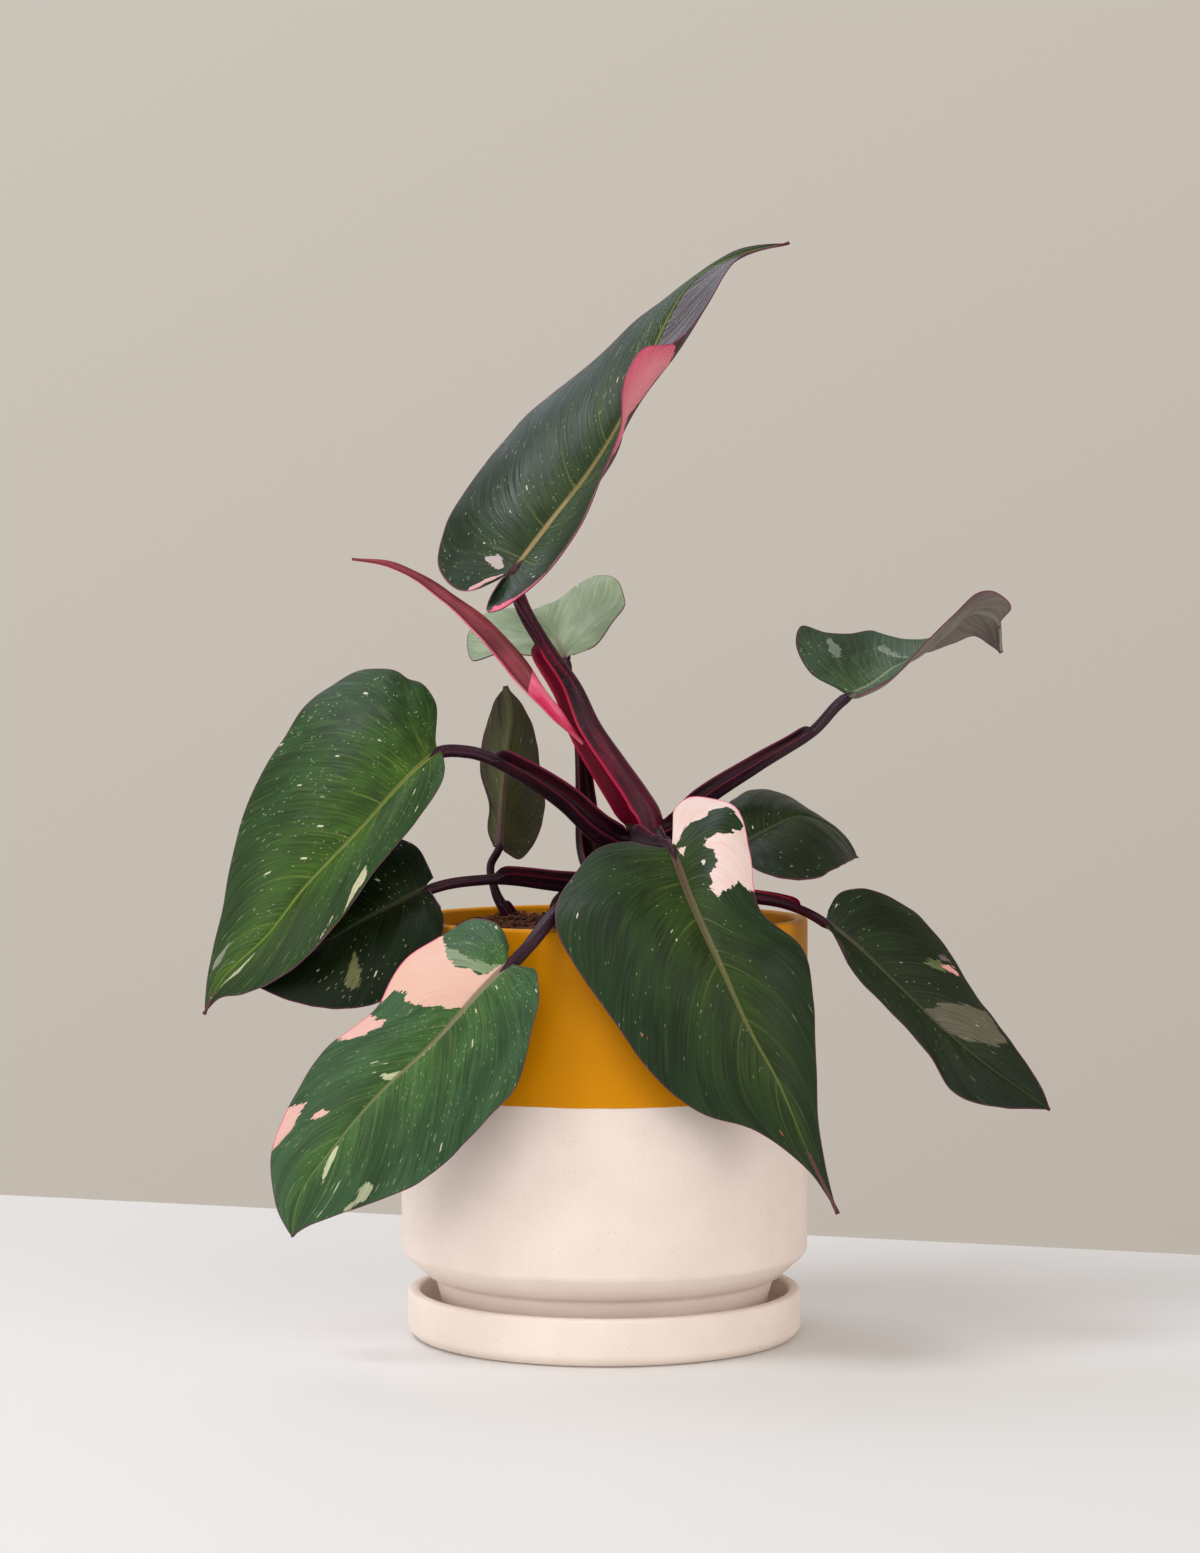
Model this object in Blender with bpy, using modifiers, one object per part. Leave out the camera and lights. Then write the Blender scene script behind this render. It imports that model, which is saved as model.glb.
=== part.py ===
"""A pink princess philodendron: ten open leaves and one furled leaf on a short stem, potted in a
stoneware pot that stands in its saucer.

Metres, +Z up. The origin is the middle of the saucer's underside, and +Y points to the back.
"""

import math

import bmesh
import bpy
from mathutils import Vector, noise

# Gap kept between two solids that touch on the real plant.
SEAT = 0.0003

# Pot, turned round the Z axis: a straight wall over a chamfer and a narrow foot.
POT_RADIUS = 0.0825
POT_TOP = 0.1695
POT_WALL = 0.0050
POT_FLOOR = 0.0070
LIP = 0.0022
CHAMFER_TOP = 0.0345
CHAMFER_FOOT = 0.0252
CHAMFER_RADIUS = 0.0722
FOOT_RADIUS = 0.0690
TOE_RADIUS = 0.0640
DRAIN_RADIUS = 0.0060

# Saucer, which the foot stands in.
SAUCER_RADIUS = 0.0800
SAUCER_HEIGHT = 0.0190
SAUCER_WALL = 0.0052
SAUCER_FLOOR = 0.0060
SAUCER_ROUND = 0.0045

# Potting mix, mounded towards the stem.
SOIL_EDGE = 0.1560
SOIL_MOUND = 0.0065
SOIL_LUMPS = 0.0018
SOIL_LUMP_SIZE = 0.011
SOIL_RINGS = 7
TURNED_SIDES = 40

# Stem, which stands in a hole in the potting mix.
STEM = ((0.0105, 0.004, 0.1360), (0.0115, 0.004, 0.1600), (0.0132, 0.002, 0.1820), (0.0158, 0.000, 0.2068))
STEM_RADII = (0.0070, 0.0066)
STEM_RIDGES = 5
STEM_RIDGE = 0.0004

# Leaf blades and petioles.
BLADE_THICKNESS = 0.0009
BLADE_ROWS = 15
BLADE_COLUMNS = 8
VEIN_SLANT = 0.28
ROW_SPREAD = 1.5
TIP_CUT = 0.955
TIP_REACH = 0.98
SEAT_STEP = 0.0035
PETIOLE_SIDES = 10
PETIOLE_RINGS = 12
SHEATH_SHARE = 0.45

# The furled leaf, from the sheath of the top leaf to its tip, with its girth at even steps.
FURLED = ((-0.0088, -0.0074, 0.2402), (-0.0175, -0.0120, 0.2500), (-0.028, -0.0155, 0.2620),
    (-0.038, -0.017, 0.2750), (-0.049, -0.019, 0.2870), (-0.062, -0.020, 0.2980), (-0.074, -0.020, 0.3065),
    (-0.086, -0.020, 0.3120), (-0.101, -0.020, 0.3140))
FURLED_RADII = (0.0022, 0.0034, 0.0044, 0.0034, 0.0022, 0.0012, 0.0004)

# Each leaf: its midrib from the petiole to the tip, and its left and right margins from the petiole round
# the rear lobe to the tip, as seen on the upper side with the tip up. Arch is how far the middle of the
# left and of the right half stands off the line from midrib to margin, as a share of that line, at even
# steps along the leaf.
# Then come the share of the stem's height and the bearing in degrees where the petiole leaves the stem,
# its path from there, and its girth at the stem and at the blade.
LEAVES = {
    "front": {
        "midrib": ((0.026, -0.058, 0.201), (0.034, -0.080, 0.179), (0.045, -0.094, 0.155),
            (0.055, -0.098, 0.133), (0.066, -0.099, 0.113), (0.077, -0.097, 0.087),
            (0.089, -0.093, 0.062)),
        "left": ((0.028, -0.056, 0.2055), (0.027, -0.050, 0.214), (0.034, -0.044, 0.220),
            (0.043, -0.046, 0.219), (0.051, -0.054, 0.216), (0.056, -0.070, 0.200),
            (0.060, -0.082, 0.177), (0.076, -0.082, 0.163), (0.080, -0.083, 0.142),
            (0.081, -0.088, 0.117), (0.083, -0.092, 0.086), (0.089, -0.093, 0.062)),
        "right": ((0.0225, -0.0575, 0.198), (0.013, -0.054, 0.202), (-0.000, -0.060, 0.201),
            (-0.013, -0.074, 0.189), (-0.019, -0.086, 0.174), (-0.013, -0.092, 0.159),
            (0.000, -0.095, 0.141), (0.013, -0.095, 0.122), (0.032, -0.094, 0.103),
            (0.059, -0.093, 0.093), (0.079, -0.092, 0.077), (0.089, -0.093, 0.062)),
        "seat": (0.86, -80),
        "petiole": ((0.018, -0.022, 0.2070), (0.0225, -0.042, 0.2095)),
        "arch": ((0.08, 0.16, 0.12, 0.08), (0.06, 0.10, 0.12, 0.08)),
        "radii": (0.0040, 0.0016),
    },
    "front_left": {
        "midrib": ((-0.0365, -0.089, 0.158), (-0.044, -0.092, 0.151), (-0.065, -0.094, 0.128),
            (-0.086, -0.090, 0.108), (-0.103, -0.084, 0.088), (-0.119, -0.073, 0.064),
            (-0.122, -0.066, 0.049)),
        "left": ((-0.0325, -0.0915, 0.156), (-0.027, -0.093, 0.156), (-0.025, -0.096, 0.148),
            (-0.028, -0.099, 0.131), (-0.033, -0.099, 0.113), (-0.048, -0.095, 0.095),
            (-0.070, -0.089, 0.074), (-0.094, -0.082, 0.063), (-0.115, -0.072, 0.054),
            (-0.122, -0.066, 0.049)),
        "right": ((-0.0365, -0.0845, 0.1632), (-0.040, -0.082, 0.171), (-0.050, -0.077, 0.174),
            (-0.063, -0.076, 0.167), (-0.078, -0.080, 0.157), (-0.088, -0.082, 0.140),
            (-0.108, -0.076, 0.123), (-0.120, -0.071, 0.105), (-0.130, -0.066, 0.079),
            (-0.128, -0.064, 0.061), (-0.122, -0.066, 0.049)),
        "seat": (0.47, -110),
        "petiole": ((0.002, -0.022, 0.1760), (-0.010, -0.050, 0.1810),
            (-0.021, -0.080, 0.1738), (-0.028, -0.0875, 0.1655)),
        "arch": ((0.06, 0.09, 0.09, 0.05), (0.06, 0.09, 0.09, 0.05)),
        "radii": (0.0030, 0.0014),
    },
    "left": {
        "midrib": ((-0.066, -0.034, 0.238), (-0.074, -0.042, 0.231), (-0.096, -0.053, 0.207),
            (-0.117, -0.056, 0.185), (-0.135, -0.052, 0.163), (-0.1435, -0.048, 0.1555),
            (-0.152, -0.042, 0.1465), (-0.159, -0.036, 0.133)),
        "left": ((-0.064, -0.038, 0.236), (-0.063, -0.046, 0.229), (-0.071, -0.056, 0.214),
            (-0.088, -0.066, 0.193), (-0.104, -0.068, 0.171), (-0.123, -0.060, 0.152),
            (-0.142, -0.047, 0.142), (-0.1535, -0.0385, 0.139), (-0.159, -0.036, 0.133)),
        "right": ((-0.067, -0.031, 0.241), (-0.068, -0.024, 0.257), (-0.077, -0.018, 0.265),
            (-0.094, -0.013, 0.270), (-0.114, -0.014, 0.261), (-0.129, -0.020, 0.242),
            (-0.144, -0.028, 0.212), (-0.152, -0.034, 0.174), (-0.158, -0.036, 0.146),
            (-0.159, -0.036, 0.133)),
        "seat": (0.88, 205),
        "petiole": ((-0.001, -0.008, 0.2030), (-0.016, -0.013, 0.2165),
            (-0.035, -0.020, 0.2288), (-0.054, -0.028, 0.2370)),
        "arch": ((0.06, 0.10, 0.09, 0.05), (0.06, 0.10, 0.09, 0.05)),
        "radii": (0.0042, 0.0016),
    },
    "lower_left": {
        "midrib": ((-0.070, -0.048, 0.184), (-0.080, -0.051, 0.179), (-0.094, -0.050, 0.172),
            (-0.111, -0.044, 0.162), (-0.129, -0.038, 0.154), (-0.143, -0.033, 0.147)),
        "left": ((-0.0668, -0.0545, 0.180), (-0.063, -0.058, 0.174), (-0.064, -0.064, 0.164),
            (-0.074, -0.066, 0.150), (-0.088, -0.062, 0.140), (-0.104, -0.056, 0.137),
            (-0.123, -0.046, 0.139), (-0.137, -0.038, 0.144), (-0.143, -0.033, 0.147)),
        "right": ((-0.0675, -0.0425, 0.1875), (-0.069, -0.042, 0.191), (-0.076, -0.036, 0.201),
            (-0.087, -0.032, 0.203), (-0.103, -0.032, 0.194), (-0.119, -0.032, 0.176),
            (-0.133, -0.032, 0.158), (-0.143, -0.033, 0.147)),
        "seat": (0.62, 190),
        "petiole": ((-0.017, -0.012, 0.1830), (-0.047, -0.034, 0.1865)),
        "arch": ((0.06, 0.09, 0.08, 0.05), (0.06, 0.09, 0.08, 0.05)),
        "radii": (0.0032, 0.0013),
    },
    "right": {
        "midrib": ((0.087, -0.042, 0.171), (0.097, -0.047, 0.163), (0.114, -0.051, 0.147),
            (0.133, -0.051, 0.129), (0.152, -0.046, 0.113), (0.1695, -0.0385, 0.1005),
            (0.177, -0.036, 0.095)),
        "left": ((0.0885, -0.0385, 0.1745), (0.093, -0.035, 0.181), (0.102, -0.031, 0.183),
            (0.118, -0.029, 0.177), (0.135, -0.030, 0.161), (0.147, -0.033, 0.142),
            (0.163, -0.036, 0.120), (0.174, -0.036, 0.103), (0.177, -0.036, 0.095)),
        "right": ((0.0875, -0.0465, 0.1685), (0.092, -0.052, 0.163), (0.097, -0.059, 0.152),
            (0.111, -0.063, 0.137), (0.127, -0.062, 0.119), (0.137, -0.056, 0.104),
            (0.156, -0.046, 0.097), (0.1705, -0.038, 0.0955), (0.177, -0.036, 0.095)),
        "seat": (0.52, -25),
        "petiole": ((0.038, -0.010, 0.1768), (0.062, -0.022, 0.1780),
            (0.077, -0.033, 0.1750)),
        "arch": ((0.06, 0.10, 0.09, 0.05), (0.06, 0.10, 0.09, 0.05)),
        "radii": (0.0028, 0.0014),
    },
    "right_small": {
        "midrib": ((0.053, -0.024, 0.199), (0.064, -0.018, 0.205), (0.080, -0.010, 0.211),
            (0.091, -0.006, 0.207), (0.103, -0.004, 0.194)),
        "left": ((0.052, -0.0175, 0.2015), (0.047, -0.008, 0.208), (0.052, 0.006, 0.217),
            (0.066, 0.016, 0.221), (0.076, 0.018, 0.218), (0.087, 0.012, 0.209), (0.098, 0.002, 0.202),
            (0.103, -0.004, 0.194)),
        "right": ((0.055, -0.028, 0.197), (0.058, -0.038, 0.192), (0.068, -0.044, 0.188),
            (0.081, -0.042, 0.187), (0.093, -0.028, 0.191), (0.103, -0.004, 0.194)),
        "seat": (0.72, -12),
        "petiole": ((0.034, -0.008, 0.1950), (0.043, -0.020, 0.1965)),
        "arch": ((0.10, 0.12, 0.10, 0.05), (0.10, 0.12, 0.10, 0.05)),
        "radii": (0.0024, 0.0014),
    },
    "right_upper": {
        "midrib": ((0.099, 0.008, 0.260), (0.108, 0.008, 0.264), (0.118, 0.010, 0.271),
            (0.128, 0.013, 0.276), (0.140, 0.018, 0.285), (0.153, 0.024, 0.294), (0.162, 0.029, 0.291),
            (0.165, 0.034, 0.277)),
        "left": ((0.095, 0.014, 0.262), (0.086, 0.010, 0.267), (0.079, 0.016, 0.279),
            (0.082, 0.028, 0.288), (0.100, 0.036, 0.285), (0.117, 0.036, 0.283), (0.130, 0.034, 0.277),
            (0.144, 0.036, 0.281), (0.154, 0.038, 0.284), (0.161, 0.038, 0.280), (0.165, 0.034, 0.277)),
        "right": ((0.102, -0.002, 0.260), (0.103, -0.008, 0.260), (0.109, -0.013, 0.263),
            (0.116, -0.014, 0.267), (0.122, -0.010, 0.273), (0.132, -0.003, 0.283), (0.142, 0.005, 0.292),
            (0.154, 0.013, 0.302), (0.163, 0.021, 0.301), (0.168, 0.028, 0.294), (0.165, 0.034, 0.277)),
        "seat": (0.95, 12),
        "petiole": ((0.040, -0.003, 0.2170), (0.062, 0.000, 0.2310),
            (0.085, 0.004, 0.2450)),
        "arch": ((-0.10, -0.14, 0.00, 0.08), (-0.10, -0.14, 0.00, 0.08)),
        "radii": (0.0034, 0.0015),
    },
    "back": {
        "midrib": ((-0.016, 0.044, 0.275), (-0.020, 0.058, 0.283), (-0.025, 0.078, 0.290),
            (-0.032, 0.100, 0.295), (-0.040, 0.122, 0.291)),
        "left": ((-0.018, 0.042, 0.275), (-0.031, 0.038, 0.276), (-0.044, 0.040, 0.277),
            (-0.055, 0.048, 0.274), (-0.058, 0.062, 0.284), (-0.051, 0.080, 0.294),
            (-0.045, 0.100, 0.296), (-0.040, 0.122, 0.291)),
        "right": ((-0.013, 0.042, 0.276), (-0.004, 0.038, 0.280), (0.003, 0.042, 0.289),
            (0.009, 0.054, 0.299), (0.002, 0.066, 0.310), (-0.007, 0.076, 0.309),
            (-0.017, 0.088, 0.301), (-0.028, 0.106, 0.297), (-0.040, 0.122, 0.291)),
        "seat": (0.56, 125),
        "petiole": ((-0.005, 0.014, 0.1920), (-0.008, 0.017, 0.2160),
            (-0.010, 0.019, 0.2380), (-0.015, 0.034, 0.2620)),
        "arch": ((0.10, 0.12, 0.10, 0.05), (0.10, 0.12, 0.10, 0.05)),
        "radii": (0.0034, 0.0015),
        "opening": (0.3, -1, 0.2),
    },
    "back_small": {
        "midrib": ((-0.0435, 0.028, 0.1965), (-0.042, 0.034, 0.221), (-0.040, 0.036, 0.241),
            (-0.039, 0.0345, 0.250), (-0.041, 0.030, 0.263)),
        "left": ((-0.0412, 0.028, 0.1942), (-0.036, 0.032, 0.191), (-0.029, 0.038, 0.198),
            (-0.025, 0.044, 0.212), (-0.027, 0.046, 0.228), (-0.029, 0.045, 0.243),
            (-0.034, 0.040, 0.255), (-0.041, 0.030, 0.263)),
        "right": ((-0.046, 0.028, 0.1965), (-0.0485, 0.033, 0.203), (-0.048, 0.036, 0.212),
            (-0.052, 0.044, 0.228), (-0.051, 0.046, 0.240), (-0.048, 0.042, 0.250),
            (-0.045, 0.036, 0.258), (-0.041, 0.030, 0.263)),
        "petiole": ((-0.038, 0.028, 0.1460), (-0.0385, 0.0275, 0.1650), (-0.045, 0.027, 0.1780),
            (-0.047, 0.027, 0.1890)),
        "arch": ((0.08, 0.10, 0.10, 0.05), (0.08, 0.10, 0.10, 0.05)),
        "radii": (0.0030, 0.0013),
        "opening": (1, -0.5, 0.2),
    },
    "top": {
        "midrib": ((-0.038, -0.016, 0.308), (-0.022, -0.012, 0.329), (-0.006, -0.006, 0.350),
            (0.005, 0.000, 0.368), (0.016, 0.006, 0.391), (0.024, 0.010, 0.410), (0.035, 0.014, 0.428),
            (0.054, 0.020, 0.440), (0.076, 0.026, 0.446)),
        "left": ((-0.0425, -0.0125, 0.306), (-0.049, -0.012, 0.303), (-0.059, -0.006, 0.302),
            (-0.067, 0.002, 0.310), (-0.065, 0.010, 0.328), (-0.052, 0.016, 0.350),
            (-0.031, 0.022, 0.375), (-0.006, 0.024, 0.396), (0.020, 0.022, 0.419), (0.038, 0.022, 0.432),
            (0.056, 0.024, 0.443), (0.076, 0.026, 0.446)),
        "right": ((-0.0405, -0.0212, 0.306), (-0.0443, -0.0245, 0.3005), (-0.047, -0.026, 0.293),
            (-0.043, -0.030, 0.293), (-0.033, -0.036, 0.299), (-0.022, -0.040, 0.309),
            (-0.010, -0.042, 0.326), (-0.001, -0.040, 0.347), (0.006, -0.038, 0.365),
            (0.007, -0.038, 0.382), (0.014, -0.032, 0.396), (0.028, -0.016, 0.401), (0.041, 0.000, 0.417),
            (0.054, 0.012, 0.437), (0.076, 0.026, 0.446)),
        "petiole": ((0.0163, 0.0000, 0.2099), (0.013, -0.001, 0.2160), (0.004, -0.003, 0.2300),
            (-0.006, -0.006, 0.2460), (-0.013, -0.009, 0.2620), (-0.022, -0.009, 0.2760),
            (-0.034, -0.009, 0.2970)),
        "arch": ((0.02, 0.10, 0.12, 0.10, 0.05), (0.02, -0.08, -0.14, -0.24, -0.05)),
        "radii": (0.0050, 0.0015),
        "opening": (-1, -0.6, 0.2),
    },
}


class Line:
    """A smooth line through set points, read by its share of length."""

    def __init__(self, points, steps=24):
        points = [Vector(point) for point in points]
        gaps = [(end - start).length for start, end in zip(points, points[1:])]
        slopes = [(end - start) / gap for start, end, gap in zip(points, points[1:], gaps)]
        turns = [slopes[0]]
        for before, after, near, far in zip(slopes, slopes[1:], gaps, gaps[1:]):
            turns.append((before * far + after * near) / (near + far))
        turns.append(slopes[-1])
        self.places = [points[0]]
        for span, gap in enumerate(gaps):
            for step in range(1, steps + 1):
                t = step / steps
                leave = gap * (t**3 - 2 * t**2 + t) * turns[span]
                arrive = gap * (t**3 - t**2) * turns[span + 1]
                self.places.append(points[span].lerp(points[span + 1], 3 * t**2 - 2 * t**3) + leave + arrive)
        self.lengths = [0.0]
        for start, end in zip(self.places, self.places[1:]):
            self.lengths.append(self.lengths[-1] + (end - start).length)
        self.length = self.lengths[-1]

    def at(self, share):
        reach = min(max(share, 0), 1) * self.length
        index = 0
        while index < len(self.places) - 2 and self.lengths[index + 1] < reach:
            index += 1
        start, end = self.places[index], self.places[index + 1]
        return start.lerp(end, (reach - self.lengths[index]) / (end - start).length)

    def along(self, share, near=0.02):
        """The line's direction."""
        share = min(max(share, near), 1 - near)
        return (self.at(share + near) - self.at(share - near)).normalized()


def eased(values, share):
    """A value read from a few that stand at even steps, smooth between them."""
    place = min(max(share, 0.0), 1.0) * (len(values) - 1)
    index = min(int(place), len(values) - 2)
    t = place - index
    t = t * t * (3 - 2 * t)
    return values[index] * (1 - t) + values[index + 1] * t


def bell(place, centre, width):
    return math.exp(-(((place - centre) / width) ** 2))


def material(name, colour, roughness):
    """A plain finish from an sRGB colour in hex."""
    made = bpy.data.materials.new(name)
    made.use_nodes = True
    shader = made.node_tree.nodes["Principled BSDF"]
    linear = [(int(colour[i:i + 2], 16) / 255) ** 2.2 for i in (1, 3, 5)]
    shader.inputs["Base Color"].default_value = (*linear, 1)
    shader.inputs["Roughness"].default_value = roughness
    made.diffuse_color = (*linear, 1)
    return made


def node(name, mesh, finish, group):
    """One named object of the plant."""
    made = bpy.data.objects.new(name, mesh)
    mesh.materials.append(finish)
    group.objects.link(made)
    return made


def mesh_from(bm, name):
    mesh = bpy.data.meshes.new(name)
    bm.to_mesh(mesh)
    bm.free()
    return mesh


def turned(name, profile, finish, group):
    """A body of revolution from a profile that runs down its outer side first."""
    closed = profile[0][0] > 0
    bm = bmesh.new()
    verts = [bm.verts.new((radius, 0, height)) for radius, height in profile]
    for start, end in zip(verts, verts[1:]):
        bm.edges.new((start, end))
    if closed:
        bm.edges.new((verts[-1], verts[0]))
    made = node(name, mesh_from(bm, name), finish, group)
    screw = made.modifiers.new("Turn", "SCREW")
    screw.steps = screw.render_steps = TURNED_SIDES
    screw.use_merge_vertices = True
    screw.merge_threshold = 0.00001
    return made


def pot(finish, group):
    inner = POT_RADIUS - POT_WALL
    toe = SAUCER_FLOOR + SEAT
    floor = toe + POT_FLOOR
    profile = (
        (POT_RADIUS - LIP, POT_TOP),
        (POT_RADIUS - 0.3 * LIP, POT_TOP - 0.3 * LIP),
        (POT_RADIUS, POT_TOP - LIP),
        (POT_RADIUS, CHAMFER_TOP + LIP),
        (POT_RADIUS - 0.3 * LIP, CHAMFER_TOP),
        (CHAMFER_RADIUS, CHAMFER_FOOT),
        (FOOT_RADIUS, CHAMFER_FOOT - 0.5 * LIP),
        (TOE_RADIUS, toe),
        (DRAIN_RADIUS, toe),
        (DRAIN_RADIUS, floor),
        (TOE_RADIUS - POT_WALL, floor),
        (FOOT_RADIUS - POT_WALL, CHAMFER_FOOT + LIP),
        (inner, CHAMFER_TOP + LIP),
        (inner, POT_TOP - LIP),
        (inner + 0.3 * LIP, POT_TOP - 0.3 * LIP),
    )
    return turned("pot", profile, finish, group)


def saucer(finish, group):
    inner = SAUCER_RADIUS - SAUCER_WALL
    lip = 0.5 * SAUCER_WALL
    profile = (
        (0, SAUCER_FLOOR),
        (inner - SAUCER_ROUND, SAUCER_FLOOR),
        (inner - 0.3 * SAUCER_ROUND, SAUCER_FLOOR + 0.3 * SAUCER_ROUND),
        (inner, SAUCER_FLOOR + SAUCER_ROUND),
        (inner, SAUCER_HEIGHT - lip),
        (inner + 0.3 * lip, SAUCER_HEIGHT - 0.3 * lip),
        (inner + lip, SAUCER_HEIGHT),
        (SAUCER_RADIUS - 0.3 * lip, SAUCER_HEIGHT - 0.3 * lip),
        (SAUCER_RADIUS, SAUCER_HEIGHT - lip),
        (SAUCER_RADIUS, SAUCER_ROUND),
        (SAUCER_RADIUS - 0.3 * SAUCER_ROUND, 0.3 * SAUCER_ROUND),
        (SAUCER_RADIUS - SAUCER_ROUND, 0),
        (0, 0),
    )
    return turned("saucer", profile, finish, group)


def soil(finish, group):
    """Potting mix that fills the pot, lumpy on top."""
    side = POT_RADIUS - POT_WALL - 2 * SEAT
    floor = SAUCER_FLOOR + POT_FLOOR + 2 * SEAT
    profile = [(side * ring / SOIL_RINGS, SOIL_EDGE) for ring in range(SOIL_RINGS + 1)]
    profile += [
        (side, CHAMFER_TOP + LIP),
        (FOOT_RADIUS - POT_WALL - 2 * SEAT, CHAMFER_FOOT + LIP),
        (TOE_RADIUS - POT_WALL - 2 * SEAT, floor),
        (0, floor),
    ]
    bm = bmesh.new()
    verts = [bm.verts.new((radius, 0, height)) for radius, height in profile]
    edges = [bm.edges.new(pair) for pair in zip(verts, verts[1:])]
    bmesh.ops.spin(bm, geom=verts + edges, axis=(0, 0, 1), cent=(0, 0, 0), steps=TURNED_SIDES, angle=math.tau)
    bmesh.ops.remove_doubles(bm, verts=bm.verts, dist=0.00001)
    bmesh.ops.recalc_face_normals(bm, faces=bm.faces)
    for vertex in bm.verts:
        if vertex.co.z > SOIL_EDGE - 0.0001:
            inward = 1 - vertex.co.xy.length / side
            lump = noise.noise(vertex.co / SOIL_LUMP_SIZE)
            vertex.co.z += SOIL_MOUND * min(1, 1.8 * inward) + SOIL_LUMPS * lump * min(1, 6 * inward)
    return node("potting_mix", mesh_from(bm, "potting_mix"), finish, group)


def tube(name, path, radius_at, rings, sides, groove=0.0, up=(0, 0, 1)):
    """A closed tube along a path. A groove along its upper side fades out past the sheath."""
    line = Line(path)
    bm = bmesh.new()
    bmesh.ops.create_grid(bm, x_segments=sides, y_segments=rings, size=1)
    for vertex in bm.verts:
        share = (vertex.co.y + 1) / 2
        angle = math.pi * vertex.co.x
        ahead = line.along(share, near=0.004)
        right = ahead.cross(Vector(up)).normalized()
        above = right.cross(ahead)
        sheath = groove * min(1, max(0, 2 - share / SHEATH_SHARE))
        radius = radius_at(share) * (1 - 0.60 * sheath * bell(angle, 0, 0.45))
        radius += radius_at(share) * 0.25 * sheath * bell(abs(angle), 0.95, 0.4)
        vertex.co = line.at(share) + radius * (math.sin(angle) * right + math.cos(angle) * above)
    bmesh.ops.remove_doubles(bm, verts=bm.verts, dist=0.00002)
    bmesh.ops.holes_fill(bm, edges=bm.edges)
    bmesh.ops.recalc_face_normals(bm, faces=bm.faces)
    return mesh_from(bm, name)


def stem(finish, group):
    """The short stem, ringed where old leaves stood."""
    mesh = tube("stem", STEM, stem_radius, 2 * PETIOLE_RINGS, PETIOLE_SIDES, up=(0, 1, 0))
    return node("stem", mesh, finish, group)


def stem_radius(share):
    start, end = STEM_RADII
    return start + (end - start) * share + STEM_RIDGE * math.cos(math.tau * STEM_RIDGES * share)


def seat_points(share, bearing):
    """Two points that lead straight out of the stem's side."""
    line = Line(STEM)
    turn = math.radians(bearing)
    out = Vector((math.cos(turn), math.sin(turn), 0))
    near = line.at(share) + (stem_radius(share) + STEM_RIDGE + 2 * SEAT) * out
    return near, near + SEAT_STEP * out + Vector((0, 0, 0.2 * SEAT_STEP))


def petiole(name, leaf, finish, group):
    """A leaf stalk that ends just short of its blade."""
    start, end = leaf["radii"]
    blade_foot = Vector(leaf["midrib"][0])
    arrival = (blade_foot - Vector(leaf["petiole"][-1])).normalized()
    path = (*leaf["petiole"], blade_foot - (2 * SEAT + BLADE_THICKNESS / 2) * arrival)
    if "seat" in leaf:
        path = (*seat_points(*leaf["seat"]), *path)
    mesh = tube(name, path, lambda share: start + (end - start) * min(1, 1.5 * share), PETIOLE_RINGS,
                PETIOLE_SIDES, groove=1, up=leaf.get("opening", (0, 0, 1)))
    return node(name, mesh, finish, group)


def furled(finish, group):
    mesh = tube("leaf_furled", FURLED, lambda share: eased(FURLED_RADII, share), PETIOLE_RINGS, PETIOLE_SIDES,
                up=(0, -1, 0))
    return node("leaf_furled", mesh, finish, group)


def blade_point(lines, arches, row, across):
    """A point of a leaf: row runs along it from 0 to 1, and across from -1 at the left margin to 1."""
    midrib, left, right = lines
    share = TIP_REACH * row**ROW_SPREAD
    root, end = midrib.at(share), (right if across > 0 else left).at(TIP_CUT * row)
    ahead = midrib.along(share)
    spread = right.at(TIP_CUT * row) - left.at(TIP_CUT * row)
    chord = end - root
    face = spread.cross(ahead).normalized()
    offset = eased(arches[int(across > 0)], row) * chord.length
    bend = root + 0.5 * chord - VEIN_SLANT * chord.dot(ahead) * ahead + 2 * offset * face
    out = abs(across)
    return (1 - out) ** 2 * root + 2 * out * (1 - out) * bend + out**2 * end


def blade(name, leaf, finish, group):
    """A leaf blade: a grid laid along its side veins, split alike on both faces as it gets its thickness."""
    lines = [Line(leaf[edge]) for edge in ("midrib", "left", "right")]
    bm = bmesh.new()
    bmesh.ops.create_grid(bm, x_segments=BLADE_COLUMNS, y_segments=BLADE_ROWS, size=1)
    for vertex in bm.verts:
        vertex.co = blade_point(lines, leaf["arch"], (vertex.co.y + 1) / 2, vertex.co.x)
    bmesh.ops.remove_doubles(bm, verts=bm.verts, dist=0.00002)
    bmesh.ops.triangulate(bm, faces=bm.faces)
    made = node(name, mesh_from(bm, name), finish, group)
    thick = made.modifiers.new("Thickness", "SOLIDIFY")
    thick.thickness = BLADE_THICKNESS
    thick.offset = 0
    return made


def cut_hole(block, path, radius, cutters):
    """A plain hole for a stem, along its own path."""
    below = Vector(path[0]) - 2 * SEAT * (Vector(path[1]) - Vector(path[0])).normalized()
    mesh = tube("hole", (below, *path[1:]), lambda share: radius + 2 * SEAT, PETIOLE_RINGS, PETIOLE_SIDES,
                up=(0, 1, 0))
    cutter = bpy.data.objects.new("hole", mesh)
    cutter.hide_render = True
    cutter.display_type = "WIRE"
    cutters.objects.link(cutter)
    cut = block.modifiers.new("Hole", "BOOLEAN")
    cut.object = cutter


def clear_scene():
    for old in list(bpy.data.objects):
        bpy.data.objects.remove(old)


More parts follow.
